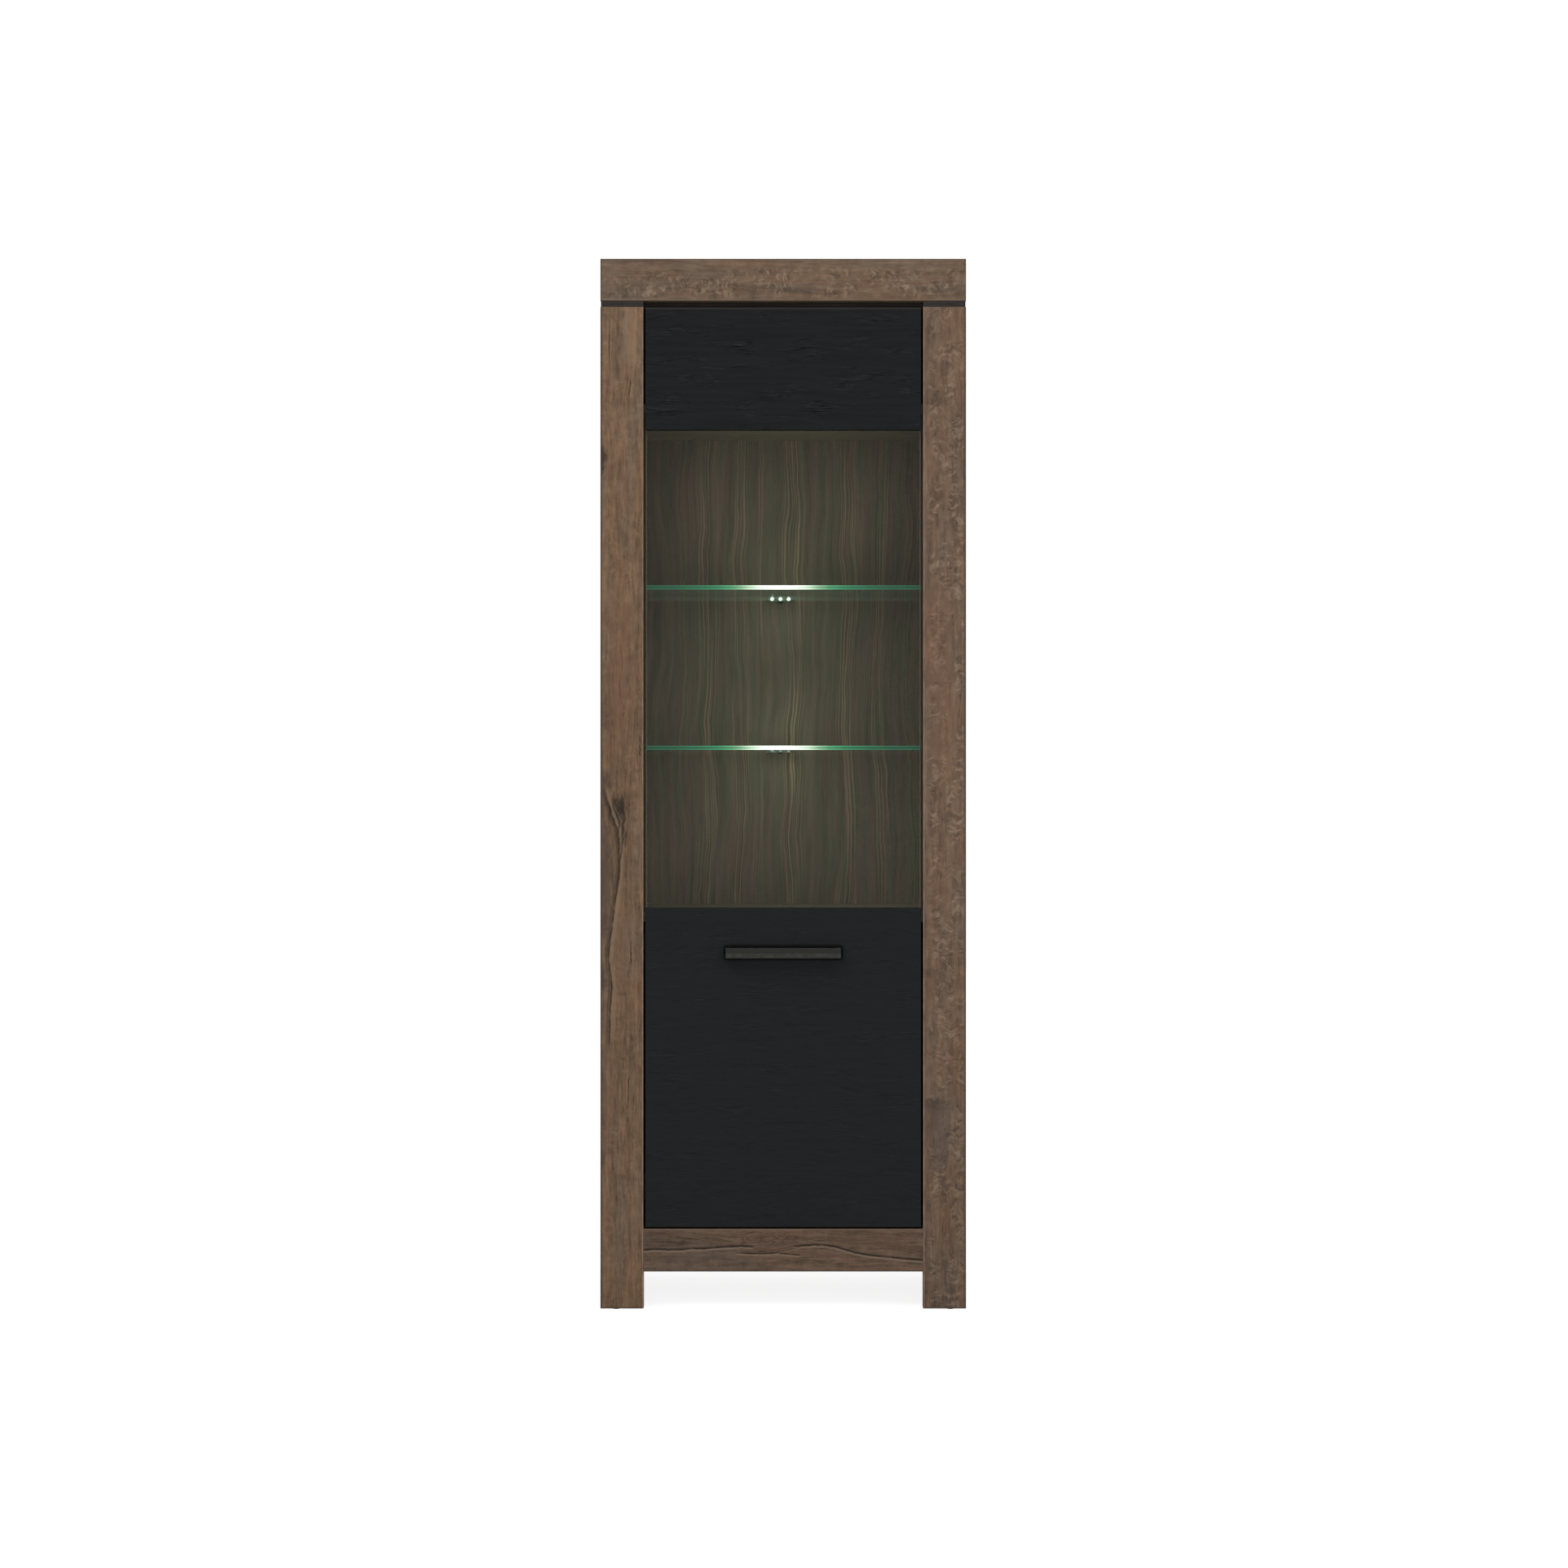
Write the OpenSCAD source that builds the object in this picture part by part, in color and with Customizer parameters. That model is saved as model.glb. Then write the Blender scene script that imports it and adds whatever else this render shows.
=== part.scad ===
// Display cabinet: an oak-look carcass standing on its stiles, one inset door made of
// a black panel, a full-width pane and a black panel, two lit glass shelves in the
// window and three wood shelves.
// Millimetres. X runs to the right, Y to the back and Z up. The origin is on the floor
// under the middle of the whole object, handle included.

/* [Overall size] */
// Width over the stiles
cabinet_w = 698; // [650:1:800]
// Height from the floor to the top face
cabinet_h = 2005; // [2000:1:2040]
// Depth from the front of the stiles to the back panels
carcass_d = 425; // [420:1:480]

/* [Boards] */
// Thickness of the sides, the shelves and the bottom
board_t = 16; // [16:1:18]
// Width of the two front stiles
stile_w = 82; // [76:1:90]
// Thickness of the stiles, the bottom rail and the top fascia
stile_t = 22; // [20:1:24]
// Height of the thick top
cap_h = 80; // [70:1:90]
// Thickness of the black board under the thick top
spacer_t = 12; // [10:1:16]
// How far the black board stands back over the door
spacer_setback = 25; // [25:1:40]
// Free height under the bottom rail
leg_h = 72; // [60:1:80]
// Height of the bottom rail
rail_h = 81; // [70:1:84]
// Thickness of the back panels
back_t = 3; // [3:1:4]
// Depth of the filler boards that carry the hinges
filler_d = 70; // [70:1:80]
// Thickness of the filler boards
filler_t = 18; // [16:1:18]

/* [Shelves] */
// Underside of the adjustable wood shelf
wood_shelf_z = 445; // [400:1:520]
// Underside of the fixed shelf behind the top of the lower door panel
lower_fixed_z = 738; // [734:1:742]
// Underside of the lower glass shelf
lower_glass_z = 1069; // [1000:1:1150]
// Underside of the upper glass shelf
upper_glass_z = 1381; // [1300:1:1450]
// Underside of the fixed shelf behind the foot of the upper door panel
upper_fixed_z = 1715; // [1711:1:1717]
// Thickness of the glass shelves
glass_shelf_t = 8; // [6:1:8]
// Depth of the loose shelves, front to back
loose_shelf_d = 310; // [280:1:310]
// Distance from the front of the stiles to the loose shelves
loose_setback = 95; // [95:1:96]
// Distance from the front of the stiles to the fixed shelves
fixed_setback = 24.5; // [24.5:0.5:28]

/* [Door] */
// Thickness of the door panels
door_t = 18; // [18:1:18]
// How far the door stands back from the front of the stiles
door_recess = 2; // [1:0.5:2]
// Gap between the door and each stile
door_gap = 3.5; // [3.5:0.5:3.5]
// Gap under the door
door_foot_gap = 4; // [3:1:5]
// Gap between the top of the door and the underside of the black board
door_head_gap = 1; // [1:1:3]
// Height of the lower door panel
lower_panel_h = 609; // [600:1:615]
// Height of the upper door panel
upper_panel_h = 233; // [225:1:240]
// Thickness of the door glass
door_glass_t = 5; // [4:1:5]
// Depth to which the glass stands in each panel
glass_bite = 12; // [10:1:14]

/* [Handle] */
// Length of the handle
handle_l = 219; // [160:1:320]
// Height of the handle bar
handle_h = 19.5; // [16:0.5:24]
// Height of the middle of the handle
handle_z = 681; // [650:1:700]
// How far the handle stands out in front of the stiles
handle_proud = 26; // [22:1:30]

/* [Lights] */
// Sideways place of the clip lights on the glass shelves
light_x = -6; // [-60:1:60]
// Width of a clip light
light_w = 60; // [50:1:80]

/* [Hidden] */
$fn = 48;
hinge_count = 4;

// The frame that everything else is placed in
half_w = cabinet_w / 2;
open_half = half_w - stile_w;
side_in = half_w - board_t;
front_y = handle_proud - (carcass_d + handle_proud) / 2;
rear_y = front_y + carcass_d;
board_rear = rear_y - back_t;
stile_rear = front_y + stile_t;
filler_rear = stile_rear + filler_d;
cap_z = cabinet_h - cap_h;
spacer_z = cap_z - spacer_t;
rail_top = leg_h + rail_h;
bottom_z = rail_top - board_t;
fixed_front = front_y + fixed_setback;
loose_front = front_y + loose_setback;
loose_rear = loose_front + loose_shelf_d;
loose_play = 2;

// The door
door_front = front_y + door_recess;
door_rear = door_front + door_t;
door_half = open_half - door_gap;
door_foot = rail_top + door_foot_gap;
door_head = spacer_z - door_head_gap;
lower_panel_top = door_foot + lower_panel_h;
upper_panel_foot = door_head - upper_panel_h;
panel_r = 2;
glass_y = door_front + 6.5;
glass_foot = lower_panel_top - glass_bite;
glass_head = upper_panel_foot + glass_bite;
seal_t = 1;

// The hinges: their pins stand in the cups, and their arms reach round the door's edge
hinge_z = [door_foot + 73, lower_fixed_z - 48, upper_fixed_z + 53, spacer_z - 51];
pin_inset = 12.5;
pin_x = -open_half + pin_inset;
pin_y = door_front + 8;
pin_r = 1.3;
pin_play = 0.05;
pin_l = 16;
cup_r = 17.5;
cup_x = -door_half + 5 + cup_r;
cup_depth = 13.5;
cup_play = 0.05;
flange_t = 1.2;
flange_l = 62;
slot_half = 4.9;
slot_left = pin_x - 2.9;
slot_right = pin_x + 25.5;
arm_w = 9;
arm_t = 2.4;
plate_t = 3;
plate_l = 50;
plate_y0 = pin_y + 20;
plate_y1 = pin_y + 60;
plate_screw_z = 19;
arm_screw_y = pin_y + 42;
cup_screw_z = 25;

// Fittings
glide_h = 1.5;
glide_r = 7;
dowel_r = 4;
dowel_l = 30;
dowel_play = 0.05;
cam_r = 7.5;
cam_depth = 12.5;
cam_inset = 34;
bolt_y = [front_y + 140, board_rear - 70];
cam_dowel_y = [front_y + 172, board_rear - 102];
cam_board_z = [bottom_z, lower_fixed_z, upper_fixed_z];
stile_dowel_z = [300, 800, 1300, 1800];
rail_dowel_z = [bottom_z - 42, bottom_z - 10];
pin_row_y = [front_y + 150, board_rear - 50];
shelf_pin_r = 2.5;
shelf_stub_r = 3;
shelf_pin_reach = 8;
hole_pitch = 32;
hole_depth = 9;
screw_r = 1.8;
screw_play = 0.05;
head_r = 3.6;
head_t = 1.6;
bracket_x = 200;
bracket_w = 30;
bracket_leg = 40;
bracket_t = 2;
bracket_hole_r = 2.6;
bracket_hole_z = spacer_z - 25;
catch_x = 225;
catch_w = 45;
catch_h = 14;
grommet_r = 6;
handle_leg = 10;
handle_bar_d = 10;
handle_screw_x = handle_l / 2 - handle_leg / 2;
handle_face = front_y - handle_proud;

oak = "#70563f";
black_oak = "#24262a";
dark_back = "#4a453a";
light_glass = [0.75, 0.9, 0.82, 0.35];

// A box given by its low and high corner on each axis
module block(x, y, z) {
    translate([x[0], y[0], z[0]]) cube([x[1] - x[0], y[1] - y[0], z[1] - z[0]]);
}

// Round bars that start at a point and run along one axis
module rod_x(at, r, l) {
    translate(at) rotate([0, 90, 0]) cylinder(r = r, h = l);
}

module rod_y(at, r, l) {
    translate(at) rotate([-90, 0, 0]) cylinder(r = r, h = l);
}

module rod_z(at, r, l) {
    translate(at) cylinder(r = r, h = l);
}

// Draws its children on the right, or mirrored to the left
module on_side(s) {
    mirror([s < 0 ? 1 : 0, 0, 0]) children();
}

// Every hole that a side panel has in its inner face, drawn for the right one
module side_holes() {
    for (z = cam_board_z) {
        for (y = bolt_y) rod_x([side_in - 0.5, y, z + board_t / 2], 2.5, 10.5);
        for (y = cam_dowel_y) {
            rod_x([side_in - 0.5, y, z + board_t / 2], dowel_r + dowel_play, 10.5);
        }
    }
    for (z = [wood_shelf_z, lower_glass_z, upper_glass_z], y = pin_row_y, i = [-2:2]) {
        rod_x(
            [side_in - 0.5, y, z - shelf_stub_r + i * hole_pitch],
            shelf_pin_r + screw_play,
            hole_depth + 0.5
        );
    }
}

module side_panel(s) {
    on_side(s) color(oak) difference() {
        block([side_in, half_w], [stile_rear, board_rear], [glide_h, spacer_z]);
        side_holes();
        for (y = bolt_y) {
            rod_z([half_w - board_t / 2, y, spacer_z - 35], screw_r + screw_play, 36);
        }
        glide_nail_holes();
    }
}

module stile(s) {
    on_side(s) color(oak) difference() {
        block([open_half, half_w], [front_y, stile_rear], [glide_h, spacer_z]);
        for (z = stile_dowel_z) {
            rod_y([open_half + filler_t / 2, stile_rear - 12, z], dowel_r + dowel_play, 13);
        }
        for (z = rail_dowel_z) {
            rod_x([open_half - 1, front_y + stile_t / 2, z], dowel_r + dowel_play, 16);
        }
        glide_nail_holes();
    }
}

module bottom_rail() {
    color(oak) difference() {
        block([-open_half, open_half], [front_y, stile_rear], [leg_h, rail_top]);
        for (s = [-1, 1], z = rail_dowel_z) {
            on_side(s) rod_x(
                [open_half - 15, front_y + stile_t / 2, z], dowel_r + dowel_play, 16
            );
        }
    }
}

// The filler boards close the space behind the stiles and carry the hinge plates
module hinge_filler(s) {
    on_side(s) color(oak) difference() {
        block([open_half, open_half + filler_t], [stile_rear, filler_rear], [rail_top, spacer_z]);
        for (z = stile_dowel_z) {
            rod_y([open_half + filler_t / 2, stile_rear - 1, z], dowel_r + dowel_play, 19);
        }
        if (s < 0) {
            for (z = hinge_z) {
                for (dz = [-plate_screw_z, plate_screw_z]) {
                    rod_x(
                        [open_half - 1, arm_screw_y, z + dz], screw_r + screw_play, 14
                    );
                }
                rod_x([open_half - 1, arm_screw_y, z], screw_r + screw_play, 14);
            }
        }
    }
}

// Cam pockets and edge bores of one board that meets both sides
module board_joint_cuts(z) {
    for (s = [-1, 1]) {
        on_side(s) {
            for (y = bolt_y) {
                rod_z([side_in - cam_inset, y, z - 0.5], cam_r, cam_depth + 0.5);
                rod_x([side_in - cam_inset, y, z + board_t / 2], 4, cam_inset + 1);
            }
            for (y = cam_dowel_y) {
                rod_x([side_in - 20, y, z + board_t / 2], dowel_r + dowel_play, 21);
            }
        }
    }
}

module bottom_panel() {
    color(dark_back) difference() {
        block([-side_in, side_in], [stile_rear, board_rear], [bottom_z, rail_top]);
        board_joint_cuts(bottom_z);
    }
}

module fixed_shelf(z) {
    color(dark_back) difference() {
        block([-side_in, side_in], [fixed_front, board_rear], [z, z + board_t]);
        for (s = [-1, 1]) {
            on_side(s) block(
                [open_half, side_in + 1], [fixed_front - 1, filler_rear], [z - 1, z + board_t + 1]
            );
        }
        board_joint_cuts(z);
    }
}

module wood_shelf() {
    color(dark_back) block(
        [-side_in + loose_play, side_in - loose_play],
        [loose_front, loose_rear],
        [wood_shelf_z, wood_shelf_z + board_t]
    );
}

module glass_shelf(z) {
    color(light_glass) block(
        [-side_in + loose_play, side_in - loose_play],
        [loose_front, loose_rear],
        [z, z + glass_shelf_t]
    );
}

// Four pins under one shelf: a peg in the side panel, a collar and a support
module shelf_pins(z) {
    color("silver") for (s = [-1, 1], y = pin_row_y) {
        on_side(s) {
            rod_x([side_in - 0.1, y, z - shelf_stub_r], shelf_pin_r, shelf_pin_reach);
            rod_x([side_in - 1.6, y, z - shelf_stub_r], shelf_stub_r, 1.5);
            rod_x([side_in - shelf_pin_reach, y, z - shelf_stub_r], shelf_stub_r, 7);
        }
    }
}

// The black board shows as a strip over the stiles and as a recess over the door
module black_top_board() {
    color(black_oak) difference() {
        block([1 - half_w, half_w - 1], [front_y + 1, board_rear], [spacer_z, cap_z]);
        block(
            [-open_half, open_half],
            [front_y - 1, front_y + spacer_setback],
            [spacer_z - 1, cap_z + 1]
        );
        for (s = [-1, 1]) {
            on_side(s) {
                for (y = bolt_y) {
                    rod_z(
                        [half_w - board_t / 2, y, spacer_z - 1], screw_r + screw_play, spacer_t + 2
                    );
                    rod_z([half_w - board_t / 2, y, cap_z - 3], head_r + 0.2, 4);
                }
                for (y = bracket_screw_y) {
                    rod_z([bracket_x, y, spacer_z - 1], screw_r + screw_play, 10);
                }
            }
        }
    }
}

module top_fascia() {
    color(oak) block([-half_w, half_w], [front_y, stile_rear], [cap_z, cabinet_h]);
}

module top_side(s) {
    on_side(s) color(oak) block([side_in, half_w], [stile_rear, rear_y], [cap_z, cabinet_h]);
}

module top_panel() {
    color(oak) block([-side_in, side_in], [stile_rear, rear_y], [cabinet_h - 18, cabinet_h]);
}

module top_batten() {
    color(oak) block([-side_in, side_in], [rear_y - board_t, rear_y], [cap_z, cabinet_h - 18]);
}

// The two back panels meet on the rear edge of the lower fixed shelf
back_joint_z = lower_fixed_z + board_t / 2;
back_play = 2;

module back_panel_lower() {
    color(dark_back) block(
        [back_play - half_w, half_w - back_play],
        [board_rear, rear_y],
        [bottom_z + 2, back_joint_z - 0.5]
    );
}

module back_panel_upper() {
    color(dark_back) difference() {
        block(
            [back_play - half_w, half_w - back_play],
            [board_rear, rear_y],
            [back_joint_z + 0.5, cap_z - 1]
        );
        for (z = [lower_glass_z, upper_glass_z]) {
            rod_y([light_x, board_rear - 1, z + glass_shelf_t / 2], grommet_r, back_t + 2);
        }
        for (x = [-bracket_x, bracket_x]) {
            rod_y([x, board_rear - 1, bracket_hole_z], bracket_hole_r + 0.4, back_t + 2);
        }
    }
}

// Nails drive through the back panels into the edges of the boards
module back_nails() {
    nail_z = [for (z = [bottom_z + 60:110:cap_z - 60]) if (abs(z - back_joint_z) > 12) z];
    nail_x = [-240, -120, 120, 240];
    color("gray") {
        for (s = [-1, 1], z = nail_z) {
            on_side(s) rod_y([half_w - board_t / 2, rear_y - 18, z], 0.7, 18);
        }
        for (x = nail_x, z = [bottom_z, upper_fixed_z]) {
            rod_y([x, rear_y - 18, z + board_t / 2], 0.7, 18);
        }
        for (x = nail_x, dz = [-4, 4]) rod_y([x, rear_y - 18, back_joint_z + dz], 0.7, 18);
    }
}

// A metal channel that grips the rear edge of a glass shelf
clip_gap = 3;
clip_t = 1.2;
clip_grip = 11;
module light_clip(z) {
    zs = [z - 0.1, z + glass_shelf_t + 0.1];
    x = [light_x - light_w / 2, light_x + light_w / 2];
    rear = loose_rear + clip_gap;
    color("silver") difference() {
        block(x, [loose_rear - clip_grip, rear + clip_t], [zs[0] - clip_t, zs[1] + clip_t]);
        block([x[0] - 1, x[1] + 1], [loose_rear - clip_grip - 1, rear], zs);
    }
}

led_count = 3;
led_pitch = 17;
module light_leds(z) {
    color("white") for (i = [0:led_count - 1]) {
        x = light_x + (i - (led_count - 1) / 2) * led_pitch;
        rod_y([x, loose_rear + 0.4, z + glass_shelf_t / 2], 3.6, clip_gap - 0.4);
    }
}

module cable_grommets() {
    color("black") for (z = [lower_glass_z, upper_glass_z]) {
        zc = z + glass_shelf_t / 2;
        difference() {
            union() {
                rod_y([light_x, board_rear, zc], grommet_r - 0.1, back_t);
                rod_y([light_x, board_rear - 1.5, zc], grommet_r + 2, 1.5);
            }
            rod_y([light_x, board_rear - 2, zc], 3, back_t + 3);
        }
    }
}

// The lights' driver hangs under the bottom panel, with its inlet and two outlets
module light_driver() {
    driver_y = board_rear - 60;
    color("black") difference() {
        block([-35, 35], [driver_y, driver_y + 45], [bottom_z - 20, bottom_z]);
        for (x = [-12, 12]) rod_y([x, driver_y + 33, bottom_z - 10], 2.5, 13);
        rod_x([23, driver_y + 22, bottom_z - 10], 4, 13);
    }
}

// Cams turn in the undersides of the boards and hold the heads of the bolts
module cam_locks() {
    color("silver") for (z = cam_board_z, s = [-1, 1], y = bolt_y) {
        on_side(s) difference() {
            rod_z([side_in - cam_inset, y, z], cam_r - 0.1, cam_depth - 0.2);
            rod_x([side_in - cam_inset - 4, y, z + board_t / 2], 3.7, 14);
            block(
                [side_in - cam_inset - 5, side_in - cam_inset + 5], [y - 0.8, y + 0.8], [z - 1, z + 2]
            );
            block(
                [side_in - cam_inset - 0.8, side_in - cam_inset + 0.8], [y - 5, y + 5], [z - 1, z + 2]
            );
        }
    }
}

module cam_bolts() {
    color("silver") for (z = cam_board_z, s = [-1, 1], y = bolt_y) {
        on_side(s) {
            rod_x([side_in, y, z + board_t / 2], 2.45, 9.5);
            rod_x([side_in - cam_inset + 3, y, z + board_t / 2], 2, cam_inset - 3);
            rod_x([side_in - cam_inset - 2, y, z + board_t / 2], 3.4, 5);
            rod_x([side_in - 3, y, z + board_t / 2], 3.4, 3);
        }
    }
}

module dowels() {
    color("tan") for (s = [-1, 1]) {
        on_side(s) {
            for (z = cam_board_z, y = cam_dowel_y) {
                rod_x([side_in - 19.8, y, z + board_t / 2], dowel_r, dowel_l - 0.4);
            }
            for (z = stile_dowel_z) {
                rod_y([open_half + filler_t / 2, stile_rear - 11.8, z], dowel_r, dowel_l - 0.4);
            }
            for (z = rail_dowel_z) {
                rod_x([open_half - 14.8, front_y + stile_t / 2, z], dowel_r, dowel_l - 0.4);
            }
        }
    }
}

// One glide under each stile and one under the rear of each side
glide_at = [[half_w - 30, front_y + stile_t / 2], [half_w - board_t / 2, board_rear - 40]];
module glide_nail_holes() {
    for (p = glide_at) rod_z([p[0], p[1], glide_h - 1], 1.05, 13);
}

module glides() {
    color("black") for (s = [-1, 1], p = glide_at) {
        on_side(s) {
            rod_z([p[0], p[1], 0], glide_r, glide_h);
            rod_z([p[0], p[1], glide_h - 0.1], 1, 12);
        }
    }
}

// Angle brackets under the black board take a wall screw through the back panel
bracket_screw_y = [board_rear - 32, board_rear - 16];
module wall_brackets() {
    color("silver") for (s = [-1, 1]) {
        on_side(s) difference() {
            union() {
                block(
                    [bracket_x - bracket_w / 2, bracket_x + bracket_w / 2],
                    [board_rear - bracket_leg, board_rear],
                    [spacer_z - bracket_t, spacer_z]
                );
                block(
                    [bracket_x - bracket_w / 2, bracket_x + bracket_w / 2],
                    [board_rear - bracket_t, board_rear],
                    [spacer_z - bracket_leg, spacer_z]
                );
            }
            rod_y([bracket_x, board_rear - bracket_t - 1, bracket_hole_z], bracket_hole_r, 5);
            for (y = bracket_screw_y) {
                rod_z([bracket_x, y, spacer_z - bracket_t - 1], screw_r + screw_play, 5);
            }
        }
    }
}

// Screws of the hinge plates, the arms, the black board, the brackets and the catch
module carcass_screws() {
    color("silver") {
        for (z = hinge_z) {
            for (dz = [-plate_screw_z, plate_screw_z]) {
                rod_x([-open_half - 12.5, arm_screw_y, z + dz], screw_r, 12.5 + plate_t);
                rod_x([-open_half + plate_t, arm_screw_y, z + dz], head_r, head_t);
            }
            rod_x([-open_half - 12.5, arm_screw_y, z], screw_r, 12.5 + plate_t + arm_t);
            rod_x([-open_half + plate_t + arm_t, arm_screw_y, z], head_r, head_t);
        }
        for (s = [-1, 1]) {
            on_side(s) {
                for (y = bolt_y) {
                    rod_z([half_w - board_t / 2, y, spacer_z - 34], screw_r, 34 + spacer_t - 3);
                    rod_z([half_w - board_t / 2, y, cap_z - 3], head_r, 2);
                }
                for (y = bracket_screw_y) {
                    rod_z([bracket_x, y, spacer_z - bracket_t], screw_r, bracket_t + 8);
                    rod_z([bracket_x, y, spacer_z - bracket_t - head_t], head_r, head_t);
                }
            }
        }
    }
}

module door_bumpers() {
    color("white") for (z = [lower_fixed_z, upper_fixed_z]) {
        rod_y([240, door_rear + 0.3, z + board_t / 2], 4, fixed_front - door_rear - 0.3);
    }
}

// A magnet in a housing under the lower fixed shelf, and its plate on the door
catch_z = lower_fixed_z - catch_h / 2;
module magnet_catch() {
    color("white") block(
        [catch_x - catch_w / 2, catch_x + catch_w / 2],
        [fixed_front, fixed_front + 15],
        [catch_z - catch_h / 2, catch_z + catch_h / 2]
    );
    color("silver") for (dx = [-8, 8]) {
        block(
            [catch_x + dx - 6, catch_x + dx + 6],
            [door_rear + flange_t + 0.4, fixed_front],
            [catch_z - 4, catch_z + 4]
        );
    }
}

module catch_plate() {
    color("silver") difference() {
        block(
            [catch_x - 20, catch_x + 20], [door_rear, door_rear + flange_t], [catch_z - 6, catch_z + 6]
        );
        for (dx = [-16, 16]) {
            rod_y([catch_x + dx, door_rear - 1, catch_z], screw_r + screw_play, 4);
        }
    }
}

// Plan outline of a door panel: square at the back, rounded at both front corners
module panel_plan() {
    translate([panel_r - door_half, 0]) square([2 * (door_half - panel_r), door_t]);
    translate([-door_half, panel_r]) square([2 * door_half, door_t - panel_r]);
    for (x = [panel_r - door_half, door_half - panel_r]) translate([x, panel_r]) circle(panel_r);
}

module door_panel(z0, z1, groove_z, hinges) {
    groove_y = [glass_y - seal_t, glass_y + door_glass_t + seal_t];
    color(black_oak) difference() {
        translate([0, door_front, z0]) linear_extrude(z1 - z0) panel_plan();
        block([-door_half - 1, door_half + 1], groove_y, groove_z);
        for (z = hinges) {
            rod_y([cup_x, door_rear - cup_depth, z], cup_r, cup_depth + 1);
            for (dz = [-cup_screw_z, cup_screw_z]) {
                rod_y([cup_x, door_rear - 11, z + dz], screw_r + screw_play, 12);
            }
        }
        children();
    }
}

module door_panel_upper() {
    door_panel(
        upper_panel_foot, door_head,
        [upper_panel_foot - 1, glass_head + seal_t], [hinge_z[2], hinge_z[3]]
    );
}

module door_panel_lower() {
    door_panel(
        door_foot, lower_panel_top,
        [glass_foot - seal_t, lower_panel_top + 1], [hinge_z[0], hinge_z[1]]
    ) {
        for (x = [-handle_screw_x, handle_screw_x]) {
            rod_y([x, door_front - 1, handle_z], 2.1, door_t + 2);
        }
        for (dx = [-16, 16]) {
            rod_y([catch_x + dx, door_rear - 10, catch_z], screw_r + screw_play, 11);
        }
    }
}

module door_glass() {
    color(light_glass) block(
        [0.3 - door_half, door_half - 0.3],
        [glass_y, glass_y + door_glass_t],
        [glass_foot, glass_head]
    );
}

// A soft channel round the glass in each panel's groove
module glass_seals() {
    ends = [[glass_foot - seal_t, lower_panel_top], [upper_panel_foot, glass_head + seal_t]];
    color("black") for (z = ends) {
        difference() {
            block(
                [0.5 - door_half, door_half - 0.5],
                [glass_y - seal_t, glass_y + door_glass_t + seal_t],
                z
            );
            block(
                [-door_half, door_half], [glass_y, glass_y + door_glass_t], [glass_foot, glass_head]
            );
        }
    }
}

// Side outline of the handle's bar, Y across and Z up, with a shallow groove in front
module handle_section() {
    h = handle_h / 2;
    c = 1.5;
    polygon([
        [c, -h], [handle_bar_d, -h], [handle_bar_d, h], [c, h], [0, h - c],
        [0, h - 5], [0.8, h - 6.5], [0.8, 6.5 - h], [0, 5 - h], [0, c - h]
    ]);
}

module handle_bar() {
    color("#32322e") translate([0, handle_face, handle_z]) difference() {
        union() {
            rotate([90, 0, 90]) translate([0, 0, -handle_l / 2]) {
                linear_extrude(handle_l) handle_section();
            }
            for (s = [-1, 1]) {
                on_side(s) block(
                    [handle_l / 2 - handle_leg, handle_l / 2],
                    [handle_bar_d, door_front - handle_face],
                    [-handle_h / 2, handle_h / 2]
                );
            }
        }
        for (x = [-handle_screw_x, handle_screw_x]) {
            rod_y([x, door_front - handle_face - 15, 0], 1.85, 16);
        }
    }
}

// Screws of the handle, the hinge cups and the catch plate
module door_screws() {
    color("silver") {
        for (x = [-handle_screw_x, handle_screw_x]) {
            rod_y([x, door_front - 14, handle_z], screw_r, door_t + 14);
            rod_y([x, door_rear, handle_z], head_r, head_t);
        }
        for (z = hinge_z, dz = [-cup_screw_z, cup_screw_z]) {
            rod_y([cup_x, door_rear - 10.5, z + dz], screw_r, 10.5 + flange_t);
            rod_y([cup_x, door_rear + flange_t, z + dz], head_r, 1.2);
        }
        for (dx = [-16, 16]) {
            rod_y([catch_x + dx, door_rear - 9.5, catch_z], screw_r, 9.5 + flange_t);
        }
    }
}

module hinge_pins() {
    color("silver") for (z = hinge_z) rod_z([pin_x, pin_y, z - pin_l / 2], pin_r, pin_l);
}

// A cup in the door: a disc with a slot for the arm, and a screw flange on the back
module hinge_cup(i) {
    z = hinge_z[i - 1];
    cup_floor = door_rear - cup_depth + cup_play;
    color("silver") difference() {
        union() {
            rod_y([cup_x, cup_floor, z], cup_r - cup_play, cup_depth - cup_play);
            rod_y([cup_x, door_rear, z], cup_r + 1.5, flange_t);
            block(
                [cup_x - 7, cup_x + 7],
                [door_rear, door_rear + flange_t],
                [z - flange_l / 2, z + flange_l / 2]
            );
        }
        block(
            [slot_left, slot_right],
            [cup_floor + 0.8, door_rear + flange_t + 1],
            [z - slot_half, z + slot_half]
        );
        rod_z([pin_x, pin_y, z - pin_l / 2], pin_r, pin_l);
        for (dz = [-cup_screw_z, cup_screw_z]) {
            rod_y([cup_x, door_rear - 1, z + dz], screw_r + screw_play, 4);
        }
    }
}

// Points of an arc, and the outline of a strip of even thickness along a path
function arc(c, r, a0, a1, n = 6) =
    [for (i = [0:n]) c + r * [cos(a0 + (a1 - a0) * i / n), sin(a0 + (a1 - a0) * i / n)]];
function heading(p, i) = p[min(i + 1, len(p) - 1)] - p[max(i - 1, 0)];
function offset_point(p, i, d) =
    let (h = heading(p, i)) p[i] + d * [-h[1], h[0]] / norm(h);
function strip_outline(p, t) = concat(
    [for (i = [0:len(p) - 1]) offset_point(p, i, t / 2)],
    [for (i = [len(p) - 1:-1:0]) offset_point(p, i, -t / 2)]
);

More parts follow.
